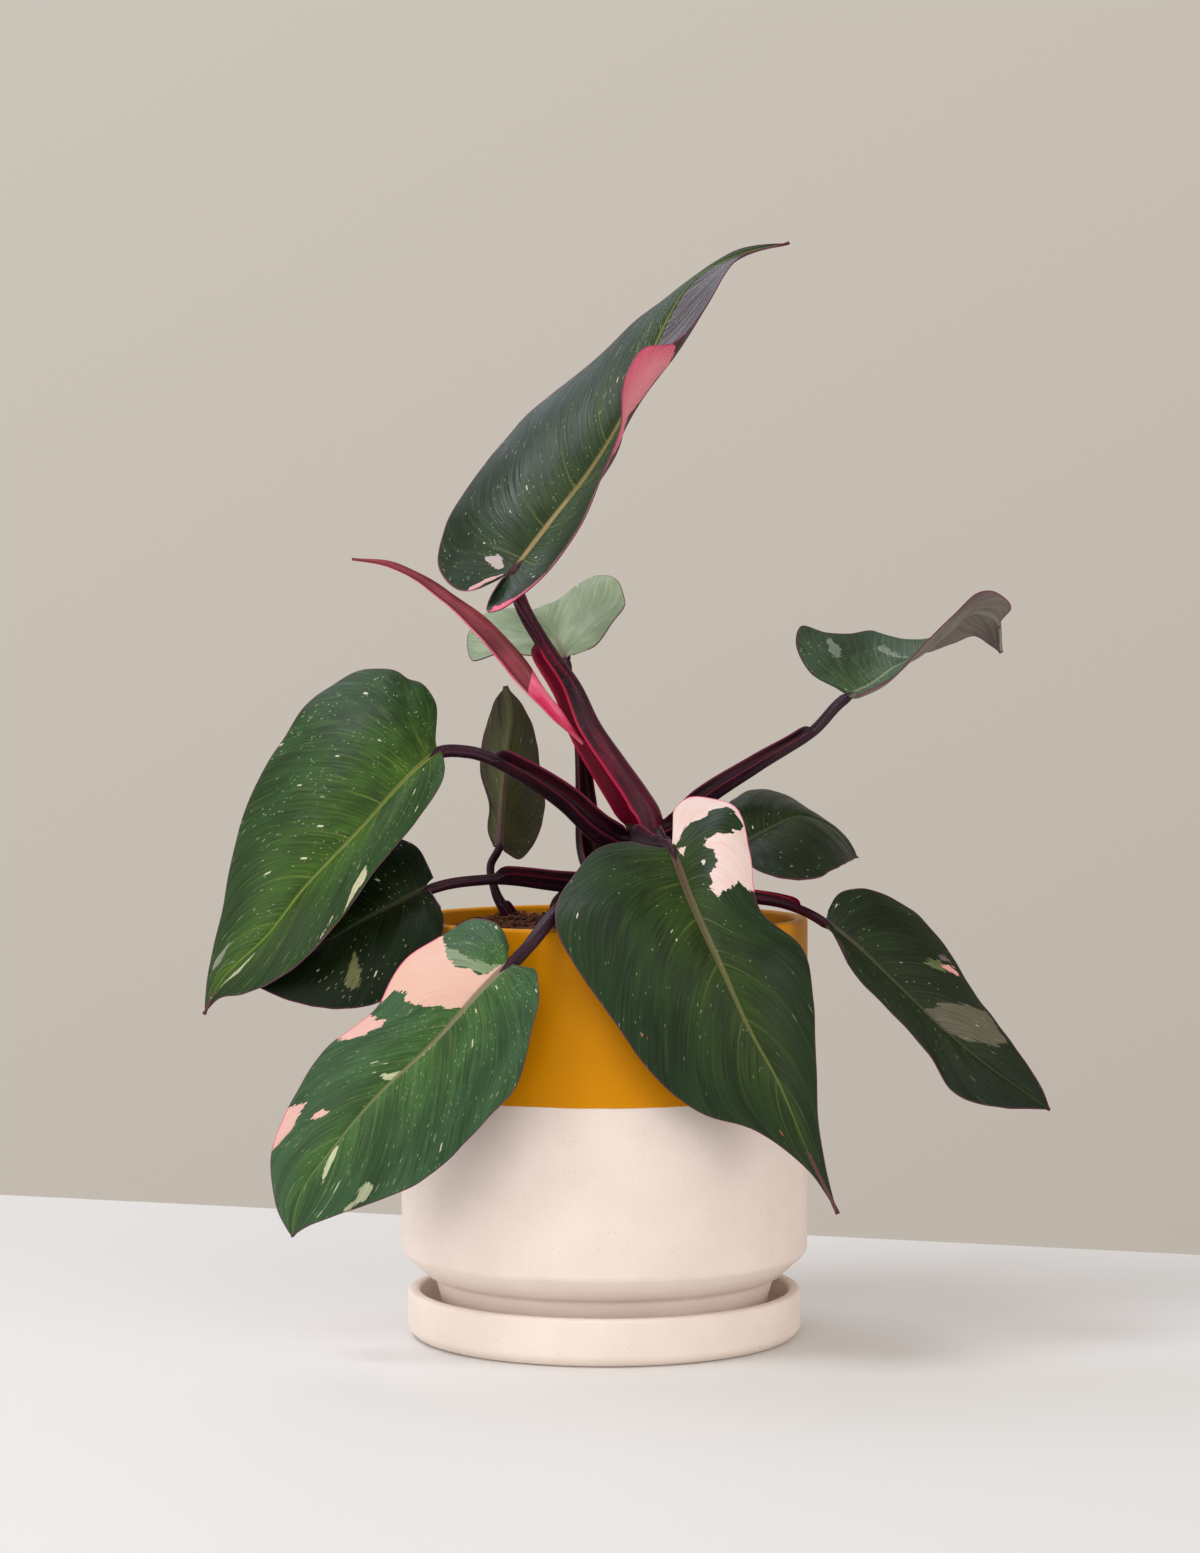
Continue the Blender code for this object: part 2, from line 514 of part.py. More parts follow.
def main():
    clear_scene()
    plant = bpy.data.collections.new("philodendron")
    cutters = bpy.data.collections.new("cutters")
    bpy.context.scene.collection.children.link(plant)
    bpy.context.scene.collection.children.link(cutters)
    glaze = material("yellow_glaze", "#DFA010", 0.3)
    bisque = material("bisque", "#E8D8CA", 0.8)
    mix = material("potting_mix", "#3A2A20", 0.95)
    maroon = material("petiole_maroon", "#3E1A28", 0.4)
    green = material("leaf_green", "#2C4A2C", 0.4)
    pink = material("new_leaf_pink", "#B03050", 0.4)

    pot(glaze, plant)
    saucer(bisque, plant)
    ground = soil(mix, plant)
    stem(maroon, plant)
    cut_hole(ground, STEM, STEM_RADII[0] + STEM_RIDGE, cutters)
    cut_hole(ground, LEAVES["back_small"]["petiole"], 1.25 * LEAVES["back_small"]["radii"][0], cutters)
    for name, leaf in LEAVES.items():
        petiole(f"petiole_{name}", leaf, maroon, plant)
        blade(f"blade_{name}", leaf, green, plant)
    furled(pink, plant)


main()
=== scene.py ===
"""The looks of a pink princess philodendron in its two-tone stoneware pot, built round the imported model.

Metres, +Z up. The origin is the middle of the saucer's underside, and +Y points to the back.
"""

import math
import random

import bmesh
import bpy
from mathutils import Euler, Matrix, Vector, noise


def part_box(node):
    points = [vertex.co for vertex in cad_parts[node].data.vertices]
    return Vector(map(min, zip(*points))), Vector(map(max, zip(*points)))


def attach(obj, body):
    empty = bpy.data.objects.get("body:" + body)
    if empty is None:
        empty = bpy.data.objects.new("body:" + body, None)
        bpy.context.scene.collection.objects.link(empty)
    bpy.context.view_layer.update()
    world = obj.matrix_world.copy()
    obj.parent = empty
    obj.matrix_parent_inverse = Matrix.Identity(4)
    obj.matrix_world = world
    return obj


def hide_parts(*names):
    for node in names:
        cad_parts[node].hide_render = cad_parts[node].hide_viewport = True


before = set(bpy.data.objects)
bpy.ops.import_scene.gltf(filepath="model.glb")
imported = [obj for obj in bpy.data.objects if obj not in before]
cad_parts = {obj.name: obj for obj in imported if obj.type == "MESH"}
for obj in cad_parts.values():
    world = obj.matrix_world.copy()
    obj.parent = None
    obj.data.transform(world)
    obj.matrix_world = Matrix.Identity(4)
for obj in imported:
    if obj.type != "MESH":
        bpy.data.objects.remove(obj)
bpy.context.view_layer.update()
bpy.ops.object.select_all(action="DESELECT")

# Table and light. The plant stands on a pale matt table top, turned a little to the camera, in a plain
# room with a warm grey wall. Soft light comes from above, from the left and from the front, and weaker
# light from the right and from behind.
TABLE_SIZE = (3.2, 2.2, 0.04)
TABLE_TURN = math.radians(-18.3)
TABLE_BACK = 0.272
AMBIENT = 0.84
LAMP_TARGET = Vector((0, 0, 0.2))
CAMERA_PLACE = (-0.0018, -1.46, 0.266)
CAMERA_TILT = math.radians(88.45)
LENS = 83.36


def linear(colour):
    """An sRGB colour in hex as the linear RGBA that a shader takes."""
    shares = [int(colour[place:place + 2], 16) / 255 for place in (1, 3, 5)]
    return (*(s / 12.92 if s <= 0.04045 else ((s + 0.055) / 1.055) ** 2.4 for s in shares), 1)


def add(tree, kind, inputs=None, **settings):
    """A shader node with its settings, and its sockets set to a value or fed by another node's output."""
    made = tree.nodes.new("ShaderNode" + kind)
    for name, value in settings.items():
        setattr(made, name, value)
    for socket, value in (inputs or {}).items():
        if isinstance(value, bpy.types.NodeSocket):
            tree.links.new(value, made.inputs[socket])
        else:
            made.inputs[socket].default_value = value
    return made


def finish(name, roughness, ior=1.5):
    """A new material, with its node tree and shader."""
    made = bpy.data.materials.new(name)
    made.use_nodes = True
    shader = made.node_tree.nodes["Principled BSDF"]
    shader.inputs["Roughness"].default_value = roughness
    shader.inputs["IOR"].default_value = ior
    return made, made.node_tree, shader


# Paint on a smooth board is matt, so the plant's shadow lies soft on it and nothing is mirrored.
painted, tree, shader = finish("Painted table top", 0.6)
shader.inputs["Base Color"].default_value = linear("#E4E3E2")
bpy.ops.mesh.primitive_cube_add(size=1)
table = bpy.context.object
table.name = "table"
bpy.ops.object.mode_set(mode="EDIT")
bpy.ops.transform.resize(value=TABLE_SIZE)
bpy.ops.transform.translate(value=(0, TABLE_BACK - TABLE_SIZE[1] / 2, -TABLE_SIZE[2] / 2))
bpy.ops.object.mode_set(mode="OBJECT")
table.rotation_euler.z = TABLE_TURN
bpy.ops.object.transform_apply()
table.data.materials.append(painted)

# The wall darkens a little to the lower right, and lights the plant less strongly than it shows.
room = bpy.data.worlds.new("room")
bpy.context.scene.world = room
room.use_nodes = True
tree = room.node_tree
wall = tree.nodes["Background"]
shade = add(tree, "VectorMath", {0: add(tree, "TexCoord").outputs["Generated"], 1: (0.5, 0, -0.9)},
            operation="DOT_PRODUCT").outputs["Value"]
slope = add(tree, "MapRange", {0: shade, 1: -0.25, 2: 0.25}).outputs[0]
paint = add(tree, "Mix", {0: slope, 6: linear("#CDC5BA"), 7: linear("#BCB3A8")}, data_type="RGBA").outputs[2]
tree.links.new(paint, wall.inputs["Color"])
dim = add(tree, "Background", {"Color": paint, "Strength": AMBIENT})
seen = add(tree, "LightPath").outputs["Is Camera Ray"]
either = add(tree, "MixShader", {0: seen, 1: dim.outputs[0], 2: wall.outputs[0]})
tree.links.new(either.outputs[0], tree.nodes["World Output"].inputs["Surface"])

for name, place, size, power, colour in (
    ("roof_window", (-1.0, -0.62, 2.05), 0.9, 19, "#F2F7FF"),
    ("side_window", (-2.2, -1.1, 0.5), 1.6, 20, "#FFFDFB"),
    ("softbox", (0.1, -2.6, 1.4), 2.6, 17, "#FFFDFF"),
    ("reflector", (1.8, -1.5, 0.6), 1.4, 13, "#FFFCFA"),
    ("sky", (-0.7, 0.8, 1.7), 1.2, 9, "#E4ECFF"),
):
    data = bpy.data.lights.new(name, "AREA")
    data.shape = "DISK"
    data.size = size
    data.energy = power
    data.color = linear(colour)[:3]
    lamp = bpy.data.objects.new(name, data)
    lamp.location = place
    lamp.rotation_euler = (LAMP_TARGET - Vector(place)).to_track_quat("-Z", "Y").to_euler()
    bpy.context.scene.collection.objects.link(lamp)

view = bpy.data.cameras.new("camera")
view.lens = LENS
camera = bpy.data.objects.new("camera", view)
camera.location = CAMERA_PLACE
camera.rotation_euler = (CAMERA_TILT, 0, 0)
bpy.context.scene.collection.objects.link(camera)
bpy.context.scene.camera = camera
bpy.context.scene.view_settings.view_transform = "Standard"

# Saucer. Stoneware turned on a wheel and fired bare: a shallow dish with a rounded lip, matt and a
# little grainy to the touch, in a pale pinkish cream with fine darker specks from the clay.
TURNED_SIDES = 144
TURNED_CREASE = math.radians(35)
TURNED_CENTRE = 0.001
SEAM = 0.00002
EDGE_ROUND = 0.0016
SAUCER_WALL = 0.0052
SAUCER_FLOOR = 0.0060
SAUCER_COVE = 0.0040
SAUCER_HEEL = 0.0034


def lathe(name, rings):
    """A turned body: a circle drawn out from ring to ring, each a radius and a height, and sewn up."""
    radius, height = rings[0]
    bpy.ops.mesh.primitive_circle_add(vertices=TURNED_SIDES, radius=radius, location=(0, 0, height))
    body = bpy.context.object
    body.name = name
    bpy.ops.object.transform_apply()
    bpy.ops.object.mode_set(mode="EDIT")
    bpy.ops.mesh.select_all(action="SELECT")
    for wider, higher in rings[1:]:
        bpy.ops.mesh.extrude_region_move(TRANSFORM_OT_translate={"value": (0, 0, higher - height)})
        bpy.ops.transform.resize(value=(wider / radius, wider / radius, 1), center_override=(0, 0, higher))
        radius, height = wider, higher
    bpy.ops.mesh.select_all(action="SELECT")
    bpy.ops.mesh.remove_doubles(threshold=SEAM)
    bpy.ops.mesh.normals_make_consistent(inside=False)
    bpy.ops.object.mode_set(mode="OBJECT")
    return body


def soften(body, width, segments=4):
    """Rounds a body's edges and shades it smooth."""
    bevel = body.modifiers.new("Round", "BEVEL")
    bevel.width = width
    bevel.segments = segments
    bevel.limit_method = "ANGLE"
    bpy.ops.object.modifier_apply(modifier=bevel.name)
    bpy.ops.object.shade_smooth_by_angle(angle=TURNED_CREASE)


def settle(piece, slot, *nodes):
    """Fixes a finished piece to the model, in place of its plain solids."""
    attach(piece, "root")
    if nodes:
        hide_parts(*nodes)


def bare_clay(name, colour, speck):
    """Stoneware fired bare is chalky and has no shine. It has a cloudy tone of 20 mm, burnt specks of about
    0.6 mm here and there, and a tooth of 0.4 mm in the bump. The pot's glaze is laid over its colour."""
    made, tree, shader = finish(name, 0.82)
    place = add(tree, "TexCoord").outputs["Object"]
    cloud = add(tree, "TexNoise", {"Vector": place, "Scale": 50, "Detail": 3}).outputs[0]
    tooth = add(tree, "TexNoise", {"Vector": place, "Scale": 2500, "Detail": 2}).outputs[0]
    cell = add(tree, "TexVoronoi", {"Vector": place, "Scale": 1 / 0.0022})
    near = add(tree, "MapRange", {0: cell.outputs["Distance"], 1: 0.10, 2: 0.22, 3: 1, 4: 0}).outputs[0]
    rare = add(tree, "SeparateColor", {0: cell.outputs["Color"]}).outputs[0]
    few = add(tree, "Math", {0: rare, 1: 0.72}, operation="GREATER_THAN").outputs[0]
    speckle = add(tree, "Math", {0: near, 1: few}, operation="MULTIPLY").outputs[0]
    faint = add(tree, "Math", {0: speckle, 1: 0.22}, operation="MULTIPLY").outputs[0]
    base = add(tree, "Mix", {0: cloud, 6: linear(colour), 7: linear(speck)}, data_type="RGBA")
    pale = add(tree, "Mix", {0: 0.22, 6: linear(colour), 7: base.outputs[2]}, data_type="RGBA")
    dotted = add(tree, "Mix", {0: faint, 6: pale.outputs[2], 7: linear(speck)}, data_type="RGBA")
    tree.links.new(dotted.outputs[2], shader.inputs["Base Color"])
    bump = add(tree, "Bump", {"Height": tooth, "Distance": 0.00012, "Strength": 0.5})
    tree.links.new(bump.outputs[0], shader.inputs["Normal"])
    return made, tree, shader, dotted.outputs[2], place


_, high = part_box("saucer")
saucer_radius = high.x
inner = saucer_radius - SAUCER_WALL
saucer = lathe("saucer_turned", (
    (TURNED_CENTRE, SAUCER_FLOOR), (inner - SAUCER_COVE, SAUCER_FLOOR),
    (inner - 0.35 * SAUCER_COVE, SAUCER_FLOOR + 0.3 * SAUCER_COVE), (inner, SAUCER_FLOOR + SAUCER_COVE),
    (inner, high.z), (saucer_radius, high.z), (saucer_radius, SAUCER_HEEL), (saucer_radius - SAUCER_HEEL, 0),
    (TURNED_CENTRE, 0), (TURNED_CENTRE, SAUCER_FLOOR),
))
soften(saucer, EDGE_ROUND)
bisque = bare_clay("Bisque stoneware, saucer", "#F4E7DD", "#A88D78")[0]
saucer.data.materials.append(bisque)
settle(saucer, "saucer_bisque", "saucer")

# Pot. The same stoneware, turned: a straight wall, a chamfer and a narrow foot that stands in the saucer.
# The upper part is dipped in a thick satin yellow glaze, inside too. The dip line runs level, wavers by less
# than 1 mm, and catches a thin line of light, because the glaze stands 0.2 mm proud of the clay.
GLAZE_LINE = 0.101
POT_WALL = 0.0050
CHAMFER_TOP = 0.0345
CHAMFER_FOOT = 0.0252
CHAMFER_LIP = 0.0012
CHAMFER_RADIUS = 0.0722
FOOT_RADIUS = 0.0690
TOE_RADIUS = 0.0640
DRAIN_RADIUS = 0.0060
POT_FLOOR = 0.0070

low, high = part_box("pot")
wall = high.x - POT_WALL
pot = lathe("pot_turned", (
    (DRAIN_RADIUS, low.z), (TOE_RADIUS, low.z), (FOOT_RADIUS, CHAMFER_FOOT - CHAMFER_LIP),
    (CHAMFER_RADIUS, CHAMFER_FOOT), (high.x, CHAMFER_TOP), (high.x, high.z), (wall, high.z),
    (wall, CHAMFER_TOP), (FOOT_RADIUS - POT_WALL, CHAMFER_FOOT), (TOE_RADIUS - POT_WALL, low.z + POT_FLOOR),
    (DRAIN_RADIUS, low.z + POT_FLOOR), (DRAIN_RADIUS, low.z),
))
soften(pot, EDGE_ROUND)

glazed, tree, shader, clay, place = bare_clay("Bisque stoneware dipped in yellow glaze", "#F3E6DE", "#A88D78")
height = add(tree, "SeparateXYZ", {0: place}).outputs[2]
waver = add(tree, "TexNoise", {"Vector": place, "Scale": 90, "Detail": 1}).outputs[0]
dip = add(tree, "Math", {0: waver, 1: 0.0008, 2: GLAZE_LINE - 0.0004}, operation="MULTIPLY_ADD").outputs[0]
above = add(tree, "Math", {0: height, 1: dip}, operation="SUBTRACT").outputs[0]
dipped = add(tree, "MapRange", {0: above, 1: -0.0001, 2: 0.0002}).outputs[0]
pooled = add(tree, "TexNoise", {"Vector": place, "Scale": 35, "Detail": 4}).outputs[0]
yellow = add(tree, "Mix", {0: pooled, 6: linear("#CB8200"), 7: linear("#D68E00")}, data_type="RGBA").outputs[2]
coat = add(tree, "Mix", {0: dipped, 6: clay, 7: yellow}, data_type="RGBA").outputs[2]
tree.links.new(coat, shader.inputs["Base Color"])
shader.inputs["Specular IOR Level"].default_value = 0.10
gloss = add(tree, "MapRange", {0: dipped, 3: 0.82, 4: 0.42}).outputs[0]
tree.links.new(gloss, shader.inputs["Roughness"])
skin = add(tree, "Bump", {"Height": dipped, "Distance": 0.0002, "Strength": 0.6})
tooth = shader.inputs["Normal"].links[0].from_node
tree.links.new(tooth.outputs[0], skin.inputs["Normal"])
tree.links.new(skin.outputs[0], shader.inputs["Normal"])
pot.data.materials.append(glazed)
settle(pot, "pot_glaze", "pot")

# Potting mix. Moist coir, bark and peat, mounded a little to the stem and level below the pot's rim.
# Loose chips and short coir threads lie on it, so its surface is broken up and dull.
SOIL_EDGE = 0.1560
SOIL_MOUND = 0.0115
SOIL_LUMP = 0.0018
SOIL_RINGS = 34
MIX_GAP = 0.0006
MIX_LIFT = 0.0022
MIDDLE = 0.00001
CHIPS = 1500
THREADS = 130
THREAD_STEPS = 8
THREAD_STEP = 0.0011
THREAD_RADIUS = 0.00014

low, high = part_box("potting_mix")
side = high.x
rings = [(max(side * step / SOIL_RINGS, MIDDLE), SOIL_EDGE) for step in range(SOIL_RINGS + 1)]
mix = lathe("potting_mix_body", (
    *rings, (side, CHAMFER_TOP), (FOOT_RADIUS - POT_WALL, CHAMFER_FOOT + MIX_LIFT),
    (TOE_RADIUS - POT_WALL - MIX_GAP, low.z), (MIDDLE, low.z),
))


def soil_height(place):
    """How high the mix stands at a place: mounded to the stem, in lumps of 11 mm and of 4 mm."""
    inward = max(0, 1 - place.xy.length / side)
    lump = noise.noise(Vector((place.x, place.y, 0)) / 0.011) + 0.6 * noise.noise(place.xyz / 0.004)
    return SOIL_EDGE + SOIL_MOUND * min(1, 3.2 * inward) + SOIL_LUMP * lump * min(1, 6 * inward)


for vertex in mix.data.vertices:
    if vertex.co.z > SOIL_EDGE - 0.0001:
        vertex.co.z = soil_height(Vector((vertex.co.x, vertex.co.y, 0)))
bpy.ops.object.shade_smooth()

# Moist coir and bark are rough and dull: near black in the gaps, with rusty fibres of about 1 mm on top.
earth, tree, shader = finish("Coir and bark mix", 0.92)
place = add(tree, "TexCoord").outputs["Object"]
coarse = add(tree, "TexNoise", {"Vector": place, "Scale": 160, "Detail": 4}).outputs[0]
fine = add(tree, "TexNoise", {"Vector": place, "Scale": 900, "Detail": 3}).outputs[0]
grainy = add(tree, "MapRange", {0: coarse, 1: 0.38, 2: 0.64}).outputs[0]
brown = add(tree, "Mix", {0: grainy, 6: linear("#1E0E06"), 7: linear("#6C3614")}, data_type="RGBA").outputs[2]
rust = add(tree, "MapRange", {0: fine, 1: 0.56, 2: 0.70}).outputs[0]
warm = add(tree, "Mix", {0: rust, 6: brown, 7: linear("#9A521E")}, data_type="RGBA").outputs[2]
tree.links.new(warm, shader.inputs["Base Color"])
rough = add(tree, "Bump", {"Height": fine, "Distance": 0.0008, "Strength": 0.8})
tree.links.new(rough.outputs[0], shader.inputs["Normal"])
mix.data.materials.append(earth)
settle(mix, "potting_mix", "potting_mix")

# Bark chips 1 to 6 mm long and coir threads 8 mm long lie scattered on the mix, the same on each run.
random.seed(11)
bm = bmesh.new()
for chip in range(CHIPS):
    reach = (side - 0.003) * math.sqrt(random.random())
    turn = random.uniform(0, math.tau)
    spot = Vector((reach * math.cos(turn), reach * math.sin(turn), 0))
    spot.z = soil_height(spot) + random.uniform(-0.0006, 0.0008)
    size = Vector((random.uniform(0.8, 2.8), random.uniform(0.6, 1.8), random.uniform(0.5, 1.4))) / 1000
    tilt = Euler((random.uniform(-0.6, 0.6), random.uniform(-0.6, 0.6), random.uniform(0, math.tau)))
    pose = Matrix.LocRotScale(spot, tilt, size)
    crumb = bmesh.ops.create_icosphere(bm, subdivisions=1, radius=1, matrix=pose)
    for vertex in crumb["verts"]:
        vertex.co += 0.0003 * noise.noise_vector(vertex.co / 0.001)
for thread in range(THREADS):
    reach = (side - 0.008) * math.sqrt(random.random())
    turn = random.uniform(0, math.tau)
    heading = random.uniform(0, math.tau)
    bend = random.uniform(-250, 250)
    spot = Vector((reach * math.cos(turn), reach * math.sin(turn), 0))
    rings = []
    for step in range(THREAD_STEPS):
        spot = spot + THREAD_STEP * Vector((math.cos(heading), math.sin(heading), 0))
        heading += bend * THREAD_STEP
        lift = 0.0007 + 0.0012 * math.sin(math.pi * step / (THREAD_STEPS - 1))
        centre = Vector((spot.x, spot.y, soil_height(Vector((spot.x, spot.y, 0))) + lift))
        across = THREAD_RADIUS * Vector((-math.sin(heading), math.cos(heading), 0))
        rings.append([bm.verts.new(centre + across), bm.verts.new(centre - across),
                      bm.verts.new(centre + Vector((0, 0, 0.00022)))])
    for start, end in zip(rings, rings[1:]):
        for corner in range(3):
            after = (corner + 1) % 3
            bm.faces.new((start[corner], start[after], end[after], end[corner]))
    bm.faces.new(rings[0][::-1])
    bm.faces.new(rings[-1])
bmesh.ops.recalc_face_normals(bm, faces=bm.faces)
crumbs = bpy.data.objects.new("potting_mix_chips", bpy.data.meshes.new("potting_mix_chips"))
bm.to_mesh(crumbs.data)
bm.free()
bpy.context.scene.collection.objects.link(crumbs)
crumbs.data.materials.append(earth)
settle(crumbs, "potting_mix")

# Stem. A short upright stem, brown and ringed with old leaf scars, almost hidden by the leaf stalks.
# It goes down into the mix, and two thin aerial roots arch from it into the pot.
STEM = ((0.0105, 0.004, 0.1360), (0.0115, 0.004, 0.1600), (0.0132, 0.002, 0.1820), (0.0158, 0.000, 0.2068))
STEM_RADII = (0.0070, 0.0066)
STEM_SCARS = 5
SCAR_HEIGHT = 0.0004
AERIAL_RADII = (0.0013, 0.0009)
GRAIN_RADIUS = 0.004
LIVING_CREASE = math.radians(50)


class Line:
    """A smooth line through set points, read by its share of length."""

    def __init__(self, points, steps=24):
        points = [Vector(point) for point in points]
        gaps = [(end - start).length for start, end in zip(points, points[1:])]
        slopes = [(end - start) / gap for start, end, gap in zip(points, points[1:], gaps)]
        turns = [slopes[0]]
        for before, after, near, far in zip(slopes, slopes[1:], gaps, gaps[1:]):
            turns.append((before * far + after * near) / (near + far))
        turns.append(slopes[-1])
        self.places = [points[0]]
        for span, gap in enumerate(gaps):
            for step in range(1, steps + 1):
                t = step / steps
                leave = gap * (t**3 - 2 * t**2 + t) * turns[span]
                arrive = gap * (t**3 - t**2) * turns[span + 1]
                self.places.append(points[span].lerp(points[span + 1], 3 * t**2 - 2 * t**3) + leave + arrive)
        self.lengths = [0.0]
        for start, end in zip(self.places, self.places[1:]):
            self.lengths.append(self.lengths[-1] + (end - start).length)
        self.length = self.lengths[-1]

    def at(self, share):
        reach = min(max(share, 0), 1) * self.length
        index = 0
        while index < len(self.places) - 2 and self.lengths[index + 1] < reach:
            index += 1
        start, end = self.places[index], self.places[index + 1]
        return start.lerp(end, (reach - self.lengths[index]) / (end - start).length)

    def along(self, share, near=0.02):
        """The line's direction."""
        share = min(max(share, near), 1 - near)
        return (self.at(share + near) - self.at(share - near)).normalized()


def eased(values, share):
    """A value read from a few that stand at even steps, smooth between them."""
    place = min(max(share, 0.0), 1.0) * (len(values) - 1)
    index = min(int(place), len(values) - 2)
    t = place - index
    t = t * t * (3 - 2 * t)
    return values[index] * (1 - t) + values[index + 1] * t


def bell(place, centre, width):
    """A soft hump of height 1 round its centre."""
    return math.exp(-(((place - centre) / width) ** 2))


def marked(piece, **values):
    """Writes vectors for the points of a piece, which its material reads by name."""
    for name, vectors in values.items():
        stored = piece.data.attributes.new(name, "FLOAT_VECTOR", "POINT")
        stored.data.foreach_set("vector", [share for vector in vectors for share in vector])


def rod(name, path, section, rings, sides, seed, up=(0, 0, 1)):
    """A closed rod along a path: a sheet rolled up, each point set by its share of length and its angle."""
    line = Line(path)
    bpy.ops.mesh.primitive_grid_add(x_subdivisions=sides, y_subdivisions=rings, size=2)
    made = bpy.context.object
    made.name = name
    grain, place = [], []
    ways = {}
    for vertex in made.data.vertices:
        share, angle = (vertex.co.y + 1) / 2, math.pi * vertex.co.x
        key = round(share * rings)
        if key not in ways:
            ahead = line.along(share, near=0.004)
            right = ahead.cross(Vector(up)).normalized()
            ways[key] = (line.at(share), right, right.cross(ahead))
        centre, right, above = ways[key]
        aside, rise, inside, crest = section(share, angle)
        vertex.co = centre + aside * right + rise * above
        grain.append((line.length * share, GRAIN_RADIUS * angle, seed))
        place.append((inside, share, crest))
    marked(made, grain=grain, place=place)
    bpy.ops.object.mode_set(mode="EDIT")
    bpy.ops.mesh.select_all(action="SELECT")
    bpy.ops.mesh.remove_doubles(threshold=SEAM)
    bpy.ops.mesh.select_all(action="DESELECT")
    bpy.ops.mesh.select_non_manifold()
    bpy.ops.mesh.fill_holes(sides=0)
    bpy.ops.mesh.select_all(action="SELECT")
    bpy.ops.mesh.normals_make_consistent(inside=False)
    bpy.ops.object.mode_set(mode="OBJECT")
    bpy.ops.object.shade_smooth_by_angle(angle=LIVING_CREASE)
    return made


def stalk_skin(name, outer, flush, inner, edge, foot, roughness=0.4):
    """The skin of a stalk. A thin wax lies on it, so it has a narrow soft sheen along its length. It has
    streaks of a brighter red of 1 by 25 mm, pale pores of 0.3 mm, and colours of their own at its foot,
    inside its groove and along the edge of its sheath."""
    made, tree, shader = finish(name, roughness, ior=1.4)
    shader.inputs["Specular IOR Level"].default_value = 0.26
    grain = add(tree, "Attribute", attribute_name="grain").outputs["Vector"]
    place = add(tree, "SeparateXYZ", {0: add(tree, "Attribute", attribute_name="place").outputs["Vector"]})
    drawn = add(tree, "VectorMath", {0: grain, 1: (40, 900, 1)}, operation="MULTIPLY").outputs[0]
    streak = add(tree, "TexNoise", {"Vector": drawn, "Scale": 1, "Detail": 3}).outputs[0]
    red = add(tree, "MapRange", {0: streak, 1: 0.46, 2: 0.66}).outputs[0]
    risen = add(tree, "MapRange", {0: place.outputs[1], 1: 0.10, 2: 0.55}).outputs[0]
    base = add(tree, "Mix", {0: risen, 6: linear(foot), 7: linear(outer)}, data_type="RGBA").outputs[2]
    skin = add(tree, "Mix", {0: red, 6: base, 7: linear(flush)}, data_type="RGBA").outputs[2]
    cell = add(tree, "TexVoronoi", {"Vector": grain, "Scale": 1 / 0.0009})
    dot = add(tree, "MapRange", {0: cell.outputs["Distance"], 1: 0.15, 2: 0.42, 3: 1, 4: 0}).outputs[0]
    rare = add(tree, "SeparateColor", {0: cell.outputs["Color"]}).outputs[0]
    few = add(tree, "MapRange", {0: rare, 1: 0.4, 2: 0.95, 4: 0.30}).outputs[0]
    pore = add(tree, "Math", {0: dot, 1: few}, operation="MULTIPLY").outputs[0]
    dotted = add(tree, "Mix", {0: pore, 6: skin, 7: linear("#6E5664")}, data_type="RGBA").outputs[2]
    faint = add(tree, "Math", {0: red, 1: 0.22}, operation="MULTIPLY").outputs[0]
    lining = add(tree, "Mix", {0: faint, 6: linear(inner), 7: linear(edge)}, data_type="RGBA").outputs[2]
    lined = add(tree, "Mix", {0: place.outputs[0], 6: dotted, 7: lining}, data_type="RGBA").outputs[2]
    crest = add(tree, "MapRange", {0: place.outputs[2], 1: 0.70, 2: 0.95}).outputs[0]
    colour = add(tree, "Mix", {0: crest, 6: lined, 7: linear(edge)}, data_type="RGBA").outputs[2]
    tree.links.new(colour, shader.inputs["Base Color"])
    bump = add(tree, "Bump", {"Height": streak, "Distance": 0.0002, "Strength": 0.35})
    tree.links.new(bump.outputs[0], shader.inputs["Normal"])
    return made


def round_section(start, end, ridges=0, ridge=0.0):
    """A plain round section that tapers from one radius to the other, ringed where ridges are given."""
    def section(share, angle):
        radius = start + (end - start) * share + ridge * math.cos(math.tau * ridges * share)
        return radius * math.sin(angle), radius * math.cos(angle), 0, 0
    return section


# Older skin is corky and dry: brown, with hardly any sheen.
bark = stalk_skin("Leaf-scarred stem skin", "#33241E", "#54352F", "#33241E", "#54352F", "#33241E", 0.6)
ringed = round_section(*STEM_RADII, STEM_SCARS, SCAR_HEIGHT)
stem = rod("stem_ringed", STEM, ringed, 60, 28, 1.0, up=(0, 1, 0))
stem.data.materials.append(bark)
settle(stem, "petiole", "stem")
for number, path in enumerate((
    ((0.010, -0.003, 0.1830), (-0.012, -0.010, 0.1830), (-0.020, -0.012, 0.1770), (-0.020, -0.012, 0.1580)),
    ((0.016, -0.002, 0.1780), (0.026, -0.008, 0.1760), (0.031, -0.012, 0.1690), (0.032, -0.013, 0.1560)),
)):
    root = rod(f"aerial_root_{number + 1}", path, round_section(*AERIAL_RADII), 40, 12, 2.0 + number)
    root.data.materials.append(bark)
    settle(root, "petiole")

